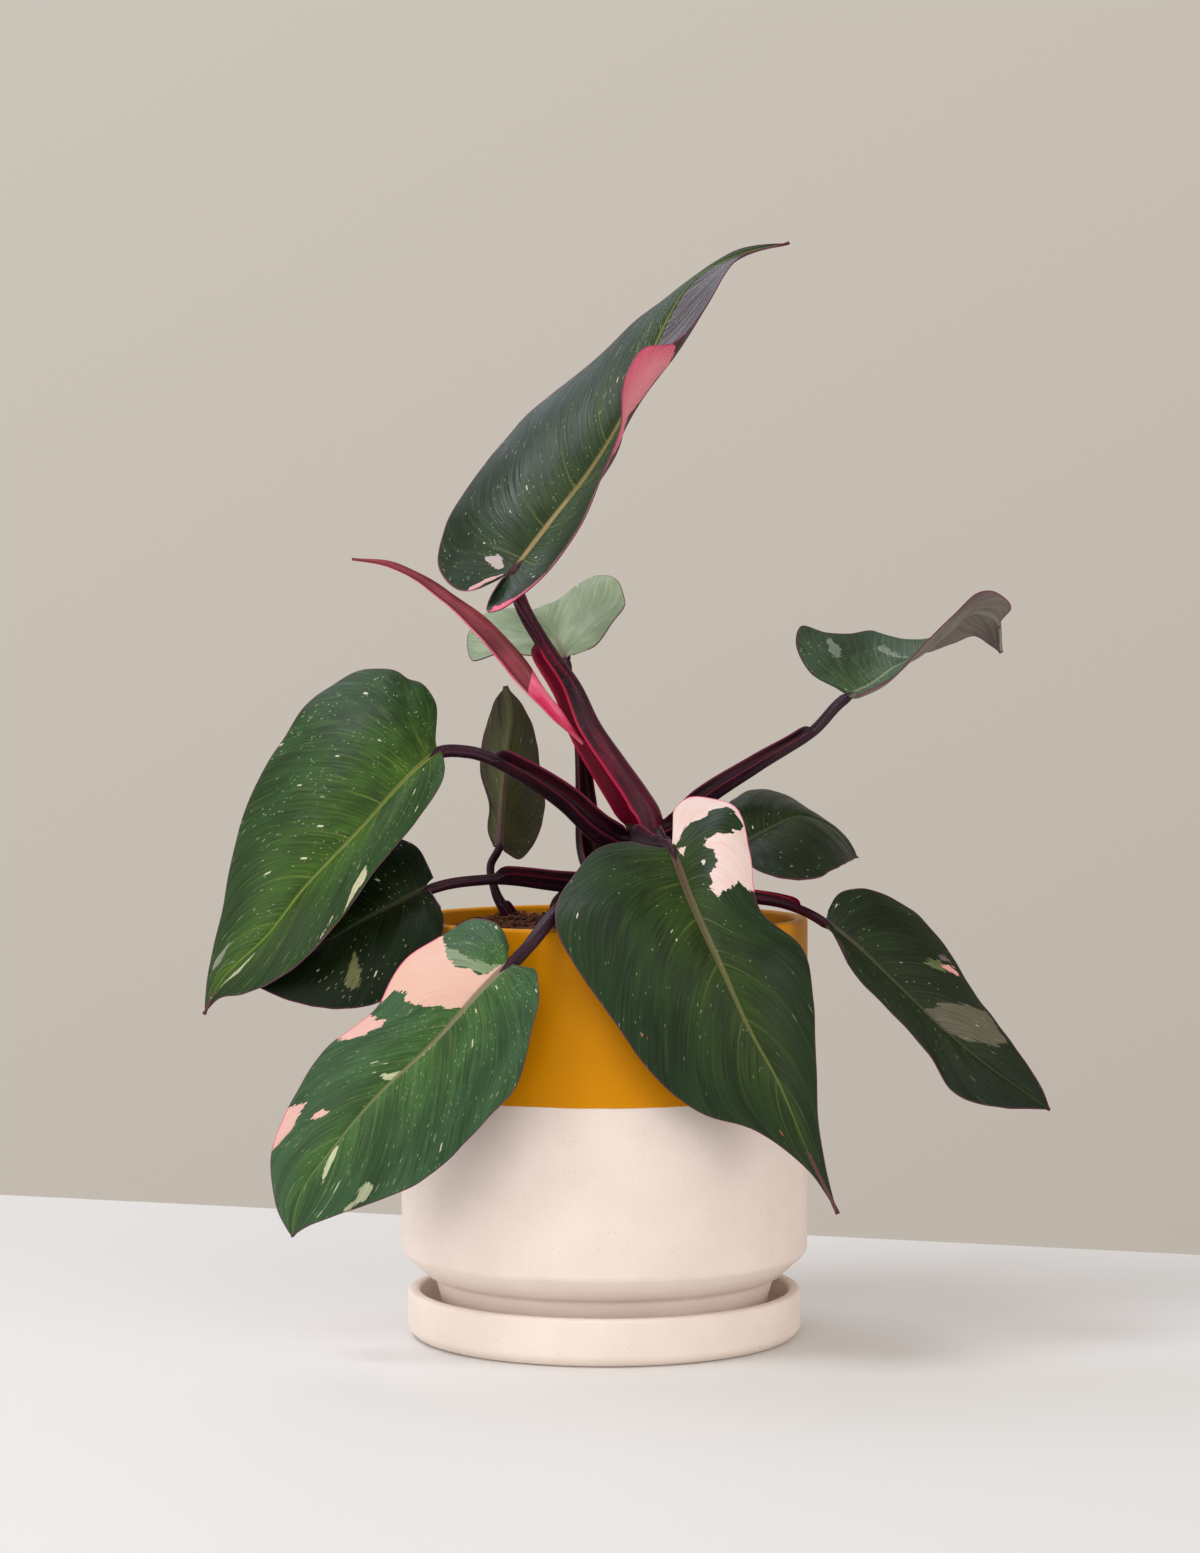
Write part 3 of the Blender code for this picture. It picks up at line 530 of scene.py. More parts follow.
# Leaf stalks. Each leaf stands on a firm maroon stalk, grooved above, whose lower part opens in a sheath
# with two thin upright wings that end in a free tip. The stalk runs on under the blade as its midrib.
SEAT_STEP = 0.0035
STALK_RINGS = 110
STALK_SIDES = 80
GROOVE_WIDTH = 0.60
GROOVE_DEPTH = 0.25
SHEATH_DEPTH = 0.45
SHEATH_SLOPE = 0.2
SHEATH_END = 0.05
WING_ANGLE = 0.92
WING_WIDTH = 0.16
WING_FLARE = 0.25
LAST_PART = 0.06
LAST_TAPER = 0.72

maroon = stalk_skin("Maroon stalk skin", "#261620", "#3E1828", "#1E0A12", "#7E2642", "#181017")
crimson = stalk_skin("Maroon stalk skin with a crimson sheath", "#1E0C16", "#640C2A", "#7C0A2C", "#C8174A",
                     "#480A20")


def stalk(name, blade_way, path, girth, seat=None, skin=maroon, wing=0.0022, sheath=0.5, opening=(0, 0, 1),
          seed=0.0):
    """A leaf stalk along a path, from inside the stem to under the blade.

    Girth is its radius at the foot and at the blade. Seat is where it leaves the stem: a share of the stem's
    length and a bearing in degrees. Its groove faces the opening, and its sheath's wings stand as high as
    wing and end at the share of its length that sheath gives. Blade_way is what leaf returns.
    """
    start, end = girth
    if seat:
        share, bearing = seat
        turn = math.radians(bearing)
        out = Vector((math.cos(turn), math.sin(turn), 0))
        heart = Line(STEM).at(share)
        near = heart + STEM_RADII[0] * out
        leaving = near + SEAT_STEP * out + Vector((0, 0, 0.2 * SEAT_STEP))
        path = (heart + 0.4 * STEM_RADII[0] * out, leaving, *path)
    foot, inner, face = blade_way
    path = (*path, foot - 0.6 * end * face, inner - 0.5 * end * face)

    def section(share, angle):
        radius = start + (end - start) * min(1, 1.5 * share)
        past = min(1, max(0, (share - sheath + SHEATH_END) / SHEATH_END))
        fade = math.sqrt(1 - past**2)
        slow = min(1, max(0, (sheath + SHEATH_SLOPE - share) / SHEATH_SLOPE))
        radius *= 1 - LAST_TAPER * max(0, share - 1 + LAST_PART) / LAST_PART
        dip = radius * (1 - (GROOVE_DEPTH + SHEATH_DEPTH * slow) * bell(angle, 0, GROOVE_WIDTH))
        crest = bell(abs(angle), WING_ANGLE, WING_WIDTH)
        lift = wing * fade * min(1, 6 * share + 0.3) * crest
        inside = fade * min(1, max(0, (WING_ANGLE - abs(angle)) / 0.10))
        aside = (dip + WING_FLARE * lift) * math.sin(angle)
        return aside, dip * math.cos(angle) + lift, inside, crest * fade

    made = rod(f"stalk_{name}", path, section, STALK_RINGS, STALK_SIDES, seed, opening)
    made.data.materials.append(skin)
    settle(made, "petiole", f"petiole_{name}")


# Leaf blades. A heart-shaped, leathery blade with a midrib and side veins that sweep towards the tip, deep
# green and satin on top, maroon below, with a thin magenta hem. Where cells lack green it is cream or pink.
LEAF_COLUMNS = 80
LEAF_ROWS = 132
LATERALS = 8
VEIN_SLANT = 0.28
VEIN_SWEEP = 0.24
ROW_SPREAD = 1.5
BLADE_THICKNESS = 0.0005
MIDRIB_THICKNESS = 0.0017
MIDRIB_WIDTH = 0.0016
MIDRIB_SINK = 0.0004
MARGIN_WAVE = 0.02
PUCKER = 0.00010
SWELL = 0.0005
FAR_OUTSIDE = -0.02


def leaf_skin(name, inner, outer, dark, vein="#5F6E30", rib="#80685C", hem="#5E2A40", painted_sheen=None, rose=0.0,
              roughness=0.42, gloss=0.3, half_rib=0.0014):
    """A leaf's skin: green from its inner tone by the midrib to its outer one, with dark streaks. A thin wax
    gives it a broad satin sheen, which breaks up along the veins.

    The leaf gives these vectors: grain is the way out along a vein, the way along the leaf and a seed, place
    is across, the row of the vein and the way in from the margin, and marks is how deep a point lies in a
    pink mark, how deep in a pale one, and how thickly it is flecked. Pink and pale are the marks' colours.
    """
    made, tree, shader = finish(name, roughness, ior=1.4)
    shader.inputs["Specular IOR Level"].default_value = gloss
    grain = add(tree, "Attribute", attribute_name="grain").outputs["Vector"]
    place = add(tree, "SeparateXYZ", {0: add(tree, "Attribute", attribute_name="place").outputs["Vector"]})
    marks = add(tree, "SeparateXYZ", {0: add(tree, "Attribute", attribute_name="marks").outputs["Vector"]})
    out = add(tree, "SeparateXYZ", {0: grain}).outputs[0]
    across, row, edge = place.outputs

    # Tone: streaks of 1 by 12 mm along the veins, hairlines between them, and clouds of 15 mm.
    drawn = add(tree, "VectorMath", {0: grain, 1: (75, 900, 1)}, operation="MULTIPLY").outputs[0]
    streak = add(tree, "TexNoise", {"Vector": drawn, "Scale": 1, "Detail": 4, "Roughness": 0.62}).outputs[0]
    cloud = add(tree, "TexNoise", {"Vector": grain, "Scale": 65, "Detail": 3}).outputs[0]
    away = add(tree, "Math", {0: across}, operation="ABSOLUTE").outputs[0]
    outward = add(tree, "MapRange", {0: away, 1: 0.05, 2: 0.70}).outputs[0]
    green = add(tree, "Mix", {0: outward, 6: linear(inner), 7: linear(outer)}, data_type="RGBA").outputs[2]
    both = add(tree, "Math", {0: streak, 1: cloud}, operation="ADD").outputs[0]
    murk = add(tree, "MapRange", {0: both, 1: 0.82, 2: 1.12, 3: 0.62, 4: 0}).outputs[0]
    colour = add(tree, "Mix", {0: murk, 6: green, 7: linear(dark)}, data_type="RGBA").outputs[2]

    # Side veins: eight to a side and 0.7 mm wide, faded out 22 mm from the midrib, with hairlines between.
    count = add(tree, "Math", {0: row, 1: LATERALS}, operation="MULTIPLY").outputs[0]
    off = add(tree, "Math", {0: count, 1: 0.5}, operation="PINGPONG").outputs[0]
    strong = add(tree, "MapRange", {0: off, 1: 0.008, 2: 0.030, 3: 1, 4: 0}).outputs[0]
    fading = add(tree, "MapRange", {0: out, 1: 0.003, 2: 0.022, 3: 0.42, 4: 0.0}).outputs[0]
    lateral = add(tree, "Math", {0: strong, 1: fading}, operation="MULTIPLY").outputs[0]
    hair = add(tree, "MapRange", {0: streak, 1: 0.55, 2: 0.72, 4: 0.16}).outputs[0]

    # Flecks lie along the veins: bits up to 0.8 by 2 mm and dust up to 0.4 by 0.7 mm, each there by chance.
    thick = add(tree, "MapRange", {0: cloud, 1: 0.38, 2: 0.62, 4: 1.3}).outputs[0]
    dense = add(tree, "Math", {0: thick, 1: marks.outputs[2]}, operation="MULTIPLY").outputs[0]
    bits = []
    for wide, tall, small, large, strength, share in (
        (0.0042, 0.0017, 0.02, 0.24, 0.85, 0.27), (0.0012, 0.0007, 0.10, 0.28, 0.60, 0.70),
    ):
        spread = add(tree, "VectorMath", {0: grain, 1: (1 / wide, 1 / tall, 1)}, operation="MULTIPLY")
        cell = add(tree, "TexVoronoi", {"Vector": spread.outputs[0], "Scale": 1}, distance="CHEBYCHEV")
        chance = add(tree, "SeparateColor", {0: cell.outputs["Color"]})
        reach = add(tree, "MapRange", {0: chance.outputs[1], 3: small, 4: large}).outputs[0]
        past = add(tree, "Math", {0: cell.outputs["Distance"], 1: reach}, operation="SUBTRACT").outputs[0]
        near = add(tree, "MapRange", {0: past, 1: -0.03, 2: 0.03, 3: strength, 4: 0}).outputs[0]
        odds = add(tree, "Math", {0: dense, 1: share}, operation="MULTIPLY").outputs[0]
        kept = add(tree, "Math", {0: chance.outputs[0], 1: odds}, operation="LESS_THAN").outputs[0]
        bits.append(add(tree, "Math", {0: near, 1: kept}, operation="MULTIPLY").outputs[0])

    # Marks: their edges are torn in steps of 1 by 3 mm, but run clean along the midrib.
    slab = add(tree, "VectorMath", {0: grain, 1: (1 / 0.0026, 1 / 0.0011, 1)}, operation="MULTIPLY")
    steps = add(tree, "TexVoronoi", {"Vector": slab.outputs[0], "Scale": 1}, distance="CHEBYCHEV")
    step = add(tree, "SeparateColor", {0: steps.outputs["Color"]}).outputs[0]
    wander = add(tree, "VectorMath", {0: grain, 1: (160, 300, 1)}, operation="MULTIPLY").outputs[0]
    wave = add(tree, "TexNoise", {"Vector": wander, "Scale": 1, "Detail": 2}).outputs[0]
    torn = add(tree, "Math", {0: wave, 1: 2.4, 2: step}, operation="MULTIPLY_ADD").outputs[0]
    centred = add(tree, "Math", {0: torn, 1: 1.7}, operation="SUBTRACT").outputs[0]
    tear = add(tree, "MapRange", {0: out, 1: 0.0, 2: 0.004, 4: 0.0014}).outputs[0]
    shift = add(tree, "Math", {0: centred, 1: tear}, operation="MULTIPLY").outputs[0]
    layers = []
    for socket, hue in ((1, "pale"), (0, "pink")):
        depth = add(tree, "Math", {0: shift, 1: marks.outputs[socket]}, operation="ADD").outputs[0]
        mask = add(tree, "MapRange", {0: depth, 1: -0.0001, 2: 0.0001}).outputs[0]
        own = add(tree, "Attribute", attribute_name=hue).outputs["Color"]
        hottest = rose if hue == "pink" else 0.0
        heat = {0: edge, 1: 0.0005, 2: 0.010, 3: hottest, 4: 0.42 * hottest}
        deeper = add(tree, "MapRange", heat).outputs[0]
        flat = add(tree, "Mix", {0: deeper, 6: own, 7: linear("#C8285A")}, data_type="RGBA").outputs[2]
        vary = add(tree, "MapRange", {0: streak, 1: 0.42, 2: 0.72, 4: 0.5}).outputs[0]
        # Where a bluish-silver tint is given, as on the newest leaf, the pale marks' streaks are a painted
        # sheen instead of dark green.
        tint = linear("#E4A09C" if hue == "pink" else painted_sheen or dark)
        streaked = add(tree, "Mix", {0: vary, 6: flat, 7: tint}, data_type="RGBA").outputs[2]
        layers.append((mask, streaked))
    blush = layers[1][0]

    # Midrib: half_rib to each side at its foot, and 0.2 mm near the tip. The margin has a line of 0.5 mm.
    half = add(tree, "MapRange", {0: row, 1: 0.0, 2: 0.9, 3: half_rib, 4: 0.0002}).outputs[0]
    beside = add(tree, "Math", {0: out, 1: half}, operation="SUBTRACT").outputs[0]
    middle = add(tree, "MapRange", {0: beside, 1: -0.0003, 2: 0.0003, 3: 0.9, 4: 0}).outputs[0]
    worn = add(tree, "MapRange", {0: row, 1: 0.15, 2: 0.85}).outputs[0]
    ribbed = add(tree, "Mix", {0: worn, 6: linear(rib), 7: linear(vein)}, data_type="RGBA").outputs[2]
    line = add(tree, "MapRange", {0: edge, 1: 0.0003, 2: 0.0006, 3: 0.8, 4: 0}).outputs[0]
    hot = add(tree, "Mix", {0: blush, 6: linear(hem), 7: linear("#D8487A")}, data_type="RGBA").outputs[2]

    for mask, hue in (
        (lateral, linear(vein)), (hair, linear(vein)), layers[0], (bits[1], linear("#A9B28C")),
        (bits[0], linear("#CFCBAE")), layers[1], (middle, ribbed), (line, hot),
    ):
        colour = add(tree, "Mix", {0: mask, 6: colour, 7: hue}, data_type="RGBA").outputs[2]
    tree.links.new(colour, shader.inputs["Base Color"])

    # Relief: ribs of 2 by 22 mm and the streaks stand about 0.2 mm, and the side veins are sunk, so light
    # breaks up along them. The wax is duller in clouds.
    ribs = add(tree, "VectorMath", {0: grain, 1: (45, 480, 1)}, operation="MULTIPLY").outputs[0]
    ribbing = add(tree, "TexNoise", {"Vector": ribs, "Scale": 1, "Detail": 1}).outputs[0]
    raised = add(tree, "Math", {0: ribbing, 1: 1.6, 2: streak}, operation="MULTIPLY_ADD").outputs[0]
    sunk = add(tree, "Math", {0: strong, 1: -0.5, 2: raised}, operation="MULTIPLY_ADD").outputs[0]
    bump = add(tree, "Bump", {"Height": sunk, "Distance": 0.0003, "Strength": 0.5})
    tree.links.new(bump.outputs[0], shader.inputs["Normal"])
    shine = add(tree, "MapRange", {0: cloud, 1: 0.3, 2: 0.7, 3: roughness - 0.06, 4: roughness + 0.10})
    tree.links.new(shine.outputs[0], shader.inputs["Roughness"])
    return made


# The underside has less wax than the top, so it is duller, and its pinks are hotter.
underside = leaf_skin("Maroon leaf underside", "#4A2A30", "#4A3034", "#2E1A20", "#6A4448", "#7A4450",
                      rose=0.8, roughness=0.5)
hem_skin, tree, shader = finish("Magenta leaf hem", 0.45, ior=1.4)
shader.inputs["Base Color"].default_value = linear("#5E2A40")


def depth_inside(outline, spot, scale):
    """How deep a spot lies inside an outline of rows and acrosses, in metres, and below 0 outside."""
    point = Vector((spot[0] * scale[0], spot[1] * scale[1]))
    corners = [Vector((row * scale[0], across * scale[1])) for row, across in outline]
    nearest, inside = -FAR_OUTSIDE, False
    for start, end in zip(corners, corners[1:] + corners[:1]):
        run = end - start
        share = min(max((point - start).dot(run) / run.length_squared, 0), 1)
        nearest = min(nearest, (start + share * run - point).length)
        if (start.y > point.y) != (end.y > point.y):
            if point.x < start.x + (point.y - start.y) * run.x / run.y:
                inside = not inside
    return nearest if inside else -nearest


def deepest(marks, spot, scale):
    """The depth in the mark that a spot lies deepest in, and that mark's colour."""
    found = [(depth_inside(outline, spot, scale), hue) for hue, outline in marks]
    depth, hue = max(found, default=(FAR_OUTSIDE, "#000000"))
    return depth, linear(hue)[:3]


def leaf(name, midrib, left, right, arch, skin, under=underside, pink=(), pale=(), flecks=0.25, seed=0.0):
    """A blade laid along its side veins. Left and right are as seen on top with the tip up.

    Arch is how far the veins of each half bow up, as shares of their length, from the foot to the tip. A mark
    is a colour and an outline of rows, from 0 at the foot to 1 at the tip, and acrosses, from -1 at the left
    margin to 1 at the right. It returns the way under the blade for the stalk: the midrib's foot, a place
    further along it, and the way the blade faces.
    """
    lines = Line(midrib), Line(left), Line(right)
    bpy.ops.mesh.primitive_grid_add(x_subdivisions=LEAF_COLUMNS, y_subdivisions=LEAF_ROWS, size=2)
    blade = bpy.context.object
    blade.name = f"leaf_{name}"
    arcs = []
    for step in range(LEAF_ROWS + 1):
        row = step / LEAF_ROWS
        root, ahead = lines[0].at(row**ROW_SPREAD), lines[0].along(row**ROW_SPREAD)
        ends = [lines[side].at(row) for side in (1, 2)]
        face = (lines[2].at(min(row, 0.97)) - lines[1].at(min(row, 0.97))).cross(ahead).normalized()
        for half in (0, 1):
            scallop = 1 + MARGIN_WAVE * noise.noise(Vector((14 * row, seed, half)))
            chord = scallop * (ends[half] - root)
            offset = eased(arch[half], row) * chord.length
            bend = root + 0.5 * chord - VEIN_SLANT * chord.dot(ahead) * ahead + 2 * offset * face
            end = root + chord
            run = 0.5 * (chord.length + (bend - root).length + (end - bend).length)
            arcs.append((root, bend, end, run))
    scale = (lines[0].length, max(arc[3] for arc in arcs))
    grain, place, marks, hues, lifts = [], [], [], ([], []), []
    for vertex in blade.data.vertices:
        across, row = vertex.co.x, (vertex.co.y + 1) / 2
        root, bend, end, run = arcs[2 * round(row * LEAF_ROWS) + int(across > 0)]
        out = abs(across)
        vertex.co = (1 - out) ** 2 * root + 2 * out * (1 - out) * bend + out**2 * end
        vein = row - VEIN_SWEEP * min(1, row / 0.4) * out**1.15
        pucker = PUCKER * math.cos(math.tau * vein * LATERALS) * math.sin(math.pi * min(1, 1.1 * out))
        cloud = Vector((out * run / 0.02, vein * scale[0] / 0.016, seed + (across > 0)))
        swell = SWELL * out * noise.noise(cloud)
        lifts.append(pucker + swell - MIDRIB_SINK * bell(out * run, 0, 0.0014))
        grain.append((out * run, vein * scale[0] + 0.4 * (across > 0), seed))
        place.append((across, vein, (1 - out) * run))
        depths = []
        for group, hue in zip((pink, pale), hues):
            depth, colour = deepest(group, (row, across), scale)
            depths.append(depth)
            hue.append(colour)
        marks.append((*depths, flecks))
    marked(blade, grain=grain, place=place, marks=marks, pink=hues[0], pale=hues[1])
    blade.data.update()
    normals = [vertex.normal.copy() for vertex in blade.data.vertices]
    for vertex, normal, lift in zip(blade.data.vertices, normals, lifts):
        vertex.co += lift * normal
    rib = blade.vertex_groups.new(name="rib")
    slim = BLADE_THICKNESS / MIDRIB_THICKNESS
    for vertex, (way_out, _, _), (_, row, _) in zip(blade.data.vertices, grain, place):
        rib.add([vertex.index], slim + (1 - slim) * (1 - row) * bell(way_out, 0, MIDRIB_WIDTH), "REPLACE")
    bpy.ops.object.mode_set(mode="EDIT")
    bpy.ops.mesh.select_all(action="SELECT")
    bpy.ops.mesh.remove_doubles(threshold=SEAM)
    bpy.ops.object.mode_set(mode="OBJECT")
    thick = blade.modifiers.new("Thickness", "SOLIDIFY")
    thick.thickness = MIDRIB_THICKNESS
    thick.vertex_group = rib.name
    thick.offset = -1
    thick.material_offset = 1
    thick.material_offset_rim = 2
    for material in (skin, under, hem_skin):
        blade.data.materials.append(material)
    bpy.ops.object.modifier_apply(modifier=thick.name)
    bpy.ops.object.shade_smooth_by_angle(angle=LIVING_CREASE)
    settle(blade, "leaf", f"blade_{name}")
    face = (Vector(right[0]) - Vector(left[0])).cross(lines[0].along(0.03)).normalized()
    return Vector(midrib[0]), lines[0].at(0.05), face


# Front leaf. The largest one, hanging over the pot's rim. Its left half is deep green, and its right rear
# lobe is cream pink round a green island, with a bright pink hem. Its stalk is short, with a wide sheath.
deep_green = leaf_skin("Deep green leaf skin", "#2A4010", "#1C3416", "#0B1406", rib="#6A5448",
                       half_rib=0.0021)
blade_way = leaf(
    "front",
    midrib=((0.026, -0.058, 0.201), (0.034, -0.080, 0.179), (0.045, -0.094, 0.155), (0.055, -0.098, 0.133),
            (0.066, -0.099, 0.113), (0.077, -0.097, 0.087), (0.089, -0.093, 0.062)),
    left=((0.028, -0.056, 0.2055), (0.027, -0.050, 0.214), (0.034, -0.044, 0.220), (0.043, -0.046, 0.219),
          (0.051, -0.054, 0.216), (0.056, -0.070, 0.200), (0.060, -0.082, 0.177), (0.076, -0.082, 0.163),
          (0.080, -0.083, 0.142), (0.081, -0.088, 0.117), (0.083, -0.092, 0.086), (0.089, -0.093, 0.062)),
    right=((0.0225, -0.0575, 0.198), (0.013, -0.054, 0.202), (-0.000, -0.060, 0.201),
           (-0.013, -0.074, 0.189), (-0.019, -0.086, 0.174), (-0.013, -0.092, 0.159),
           (0.000, -0.095, 0.141), (0.013, -0.095, 0.122), (0.032, -0.094, 0.103), (0.059, -0.093, 0.093),
           (0.079, -0.092, 0.077), (0.089, -0.093, 0.062)),
    arch=((0.08, 0.16, 0.12, 0.08), (0.06, 0.10, 0.12, 0.08)),
    pink=(
        ("#DECBC4", ((-0.03, -0.10), (0.08, -0.18), (0.09, -0.30), (0.095, -0.46), (0.11, -0.58),
                     (0.135, -0.66), (0.15, -0.72), (0.145, -0.80), (0.165, -0.86), (0.18, -0.92),
                     (0.20, -0.94), (0.25, -0.98), (0.255, -0.92), (0.235, -0.74), (0.205, -0.52),
                     (0.195, -0.44), (0.205, -0.36), (0.245, -0.48), (0.285, -0.48), (0.295, -0.34),
                     (0.315, -0.36), (0.325, -0.28), (0.36, -0.38), (0.36, -0.76), (0.39, -0.96),
                     (0.40, -1.2), (-0.03, -1.2))),
        ("#DEC9C2", ((0.10, -0.12), (0.14, -0.22), (0.155, -0.12), (0.12, -0.10))),
    ),
    pale=(
        ("#D8D2C0", ((0.245, -0.31), (0.255, -0.31), (0.255, -0.29), (0.245, -0.29))),
        ("#B06A40", ((0.833, 0.595), (0.838, 0.595), (0.838, 0.615), (0.833, 0.615))),
        ("#B06A40", ((0.547, 0.855), (0.551, 0.855), (0.551, 0.868), (0.547, 0.868))),
    ),
    skin=deep_green, flecks=0.06, seed=1.0,
)
stalk(
    "front", blade_way,
    path=((0.0170, -0.022, 0.2025), (0.0215, -0.042, 0.2015)),
    girth=(0.0102, 0.0028), seat=(0.80, -80), opening=(0, 0.5, 1), wing=0.0014, sheath=0.74, seed=1.0,
)

# Front left leaf. It hangs over the rim too, on a short stalk. A broad cream-pink sector fills the rear part
# of one half up to the midrib, with a grey-green fringe, and smaller pink marks follow down the edge.
mid_green = leaf_skin("Mid green leaf skin", "#40662E", "#385A38", "#182C14", "#6F8048", "#84745C")
blade_way = leaf(
    "front_left",
    midrib=((-0.0365, -0.089, 0.158), (-0.044, -0.092, 0.151), (-0.065, -0.094, 0.128),
            (-0.086, -0.090, 0.108), (-0.103, -0.084, 0.088), (-0.119, -0.073, 0.064),
            (-0.122, -0.066, 0.049)),
    left=((-0.0325, -0.0915, 0.156), (-0.027, -0.093, 0.156), (-0.025, -0.096, 0.148),
          (-0.028, -0.099, 0.131), (-0.033, -0.099, 0.113), (-0.048, -0.095, 0.095),
          (-0.070, -0.089, 0.074), (-0.094, -0.082, 0.063), (-0.115, -0.072, 0.054),
          (-0.122, -0.066, 0.049)),
    right=((-0.0365, -0.0845, 0.1632), (-0.040, -0.082, 0.171), (-0.050, -0.077, 0.174),
           (-0.063, -0.076, 0.167), (-0.078, -0.080, 0.157), (-0.088, -0.082, 0.140),
           (-0.108, -0.076, 0.123), (-0.120, -0.071, 0.105), (-0.130, -0.066, 0.079),
           (-0.128, -0.064, 0.061), (-0.122, -0.066, 0.049)),
    arch=((0.06, 0.09, 0.09, 0.05), (0.06, 0.09, 0.09, 0.05)),
    pink=(
        ("#D9B4A2", ((0.19, 1.2), (0.195, 0.98), (0.20, 0.84), (0.22, 0.64), (0.225, 0.46), (0.20, 0.32),
                     (0.19, 0.18), (0.155, 0.08), (0.045, 0.06), (0.045, 0.0), (0.305, 0.0), (0.33, 0.14),
                     (0.365, 0.48), (0.37, 0.64), (0.365, 0.72), (0.35, 0.70), (0.355, 0.88),
                     (0.39, 0.98), (0.40, 1.2))),
        ("#DBB0A6", ((0.43, 1.2), (0.425, 0.92), (0.435, 0.86), (0.43, 0.74), (0.45, 0.70), (0.475, 0.76),
                     (0.49, 0.76), (0.51, 0.84), (0.53, 1.2))),
        ("#DBB0A6", ((0.695, 0.78), (0.70, 0.74), (0.71, 0.78), (0.72, 0.76), (0.73, 0.80), (0.74, 0.78),
                     (0.76, 0.80), (0.79, 0.92), (0.82, 1.2), (0.72, 1.2), (0.70, 0.92))),
        ("#DBB0A6", ((0.73, 0.58), (0.72, 0.56), (0.70, 0.52), (0.705, 0.40), (0.72, 0.46), (0.725, 0.52))),
    ),
    pale=(
        ("#7E9070", ((0.205, 0.84), (0.19, 0.68), (0.175, 0.52), (0.18, 0.44), (0.155, 0.30),
                     (0.13, 0.16), (0.065, 0.06), (0.125, 0.02), (0.185, 0.14), (0.195, 0.32),
                     (0.225, 0.46), (0.225, 0.52), (0.22, 0.70))),
        ("#C4C9A0", ((0.575, 0.16), (0.56, 0.10), (0.545, 0.0), (0.58, 0.0), (0.585, 0.08))),
        ("#C4C9A0", ((0.775, -0.02), (0.765, -0.06), (0.79, -0.14), (0.82, -0.24), (0.845, -0.32),
                     (0.825, -0.14), (0.80, -0.06))),
        ("#B4BC98", ((0.745, -0.72), (0.74, -0.78), (0.755, -0.90), (0.80, -0.94), (0.86, -1.1),
                     (0.825, -0.92), (0.79, -0.86), (0.77, -0.76))),
    ),
    skin=mid_green, flecks=0.36, seed=2.0,
)
stalk(
    "front_left", blade_way,
    path=((0.002, -0.022, 0.1760), (-0.010, -0.050, 0.1810), (-0.021, -0.080, 0.1738),
          (-0.028, -0.0875, 0.1655)),
    girth=(0.0042, 0.0028), seat=(0.47, -110), wing=0.0020, seed=2.0,
)

# Left leaf. A tall leaf that faces the light on the left, the freshest green of all, with many flecks
# along its veins, a few long cream streaks below the midrib and a grey bit by its tip.
fresh_green = leaf_skin("Fresh green leaf skin", "#395B12", "#25441B", "#101E08", "#76893A", "#7E8446")
blade_way = leaf(
    "left",
    midrib=((-0.066, -0.034, 0.238), (-0.074, -0.042, 0.231), (-0.096, -0.053, 0.207),
            (-0.117, -0.056, 0.185), (-0.135, -0.052, 0.163), (-0.1435, -0.048, 0.1555),
            (-0.152, -0.042, 0.1465), (-0.159, -0.036, 0.133)),
    left=((-0.064, -0.038, 0.236), (-0.063, -0.046, 0.229), (-0.071, -0.056, 0.214),
          (-0.088, -0.066, 0.193), (-0.104, -0.068, 0.171), (-0.123, -0.060, 0.152),
          (-0.142, -0.047, 0.142), (-0.1535, -0.0385, 0.139), (-0.159, -0.036, 0.133)),
    right=((-0.067, -0.031, 0.241), (-0.0682, -0.022, 0.2582), (-0.0741, -0.019, 0.2649),
           (-0.0783, -0.018, 0.2659), (-0.0832, -0.016, 0.2690), (-0.094, -0.013, 0.2702),
           (-0.114, -0.014, 0.261), (-0.129, -0.020, 0.242), (-0.144, -0.028, 0.212),
           (-0.152, -0.034, 0.174), (-0.158, -0.036, 0.146), (-0.159, -0.036, 0.133)),
    arch=((0.06, 0.10, 0.09, 0.05), (0.06, 0.10, 0.09, 0.05)),
    pale=(
        ("#C9C6A2", ((0.43, -0.76), (0.415, -0.92), (0.465, -0.92), (0.51, -1.0), (0.48, -0.80))),
        ("#C9C6A2", ((0.545, -0.87), (0.56, -0.87), (0.59, -0.95), (0.575, -0.95))),
        ("#B9BC98", ((0.80, -0.14), (0.87, -0.34), (0.95, -0.38), (0.885, -0.25))),
        ("#8A8A7E", ((0.85, 0.50), (0.875, 0.60), (0.90, 0.78), (0.92, 0.72), (0.895, 0.50))),
        ("#C9C6A2", ((0.39, 0.90), (0.37, 0.80), (0.38, 0.82))),
    ),
    skin=fresh_green, flecks=0.34, seed=3.0,
)
stalk(
    "left", blade_way,
    path=((-0.001, -0.008, 0.2030), (-0.016, -0.013, 0.2165), (-0.035, -0.020, 0.2288),
          (-0.054, -0.028, 0.2370)),
    girth=(0.0052, 0.0026), seat=(0.88, 205), opening=(0.2, -0.8, 0.6), wing=0.0048, sheath=0.70, seed=3.0,
)
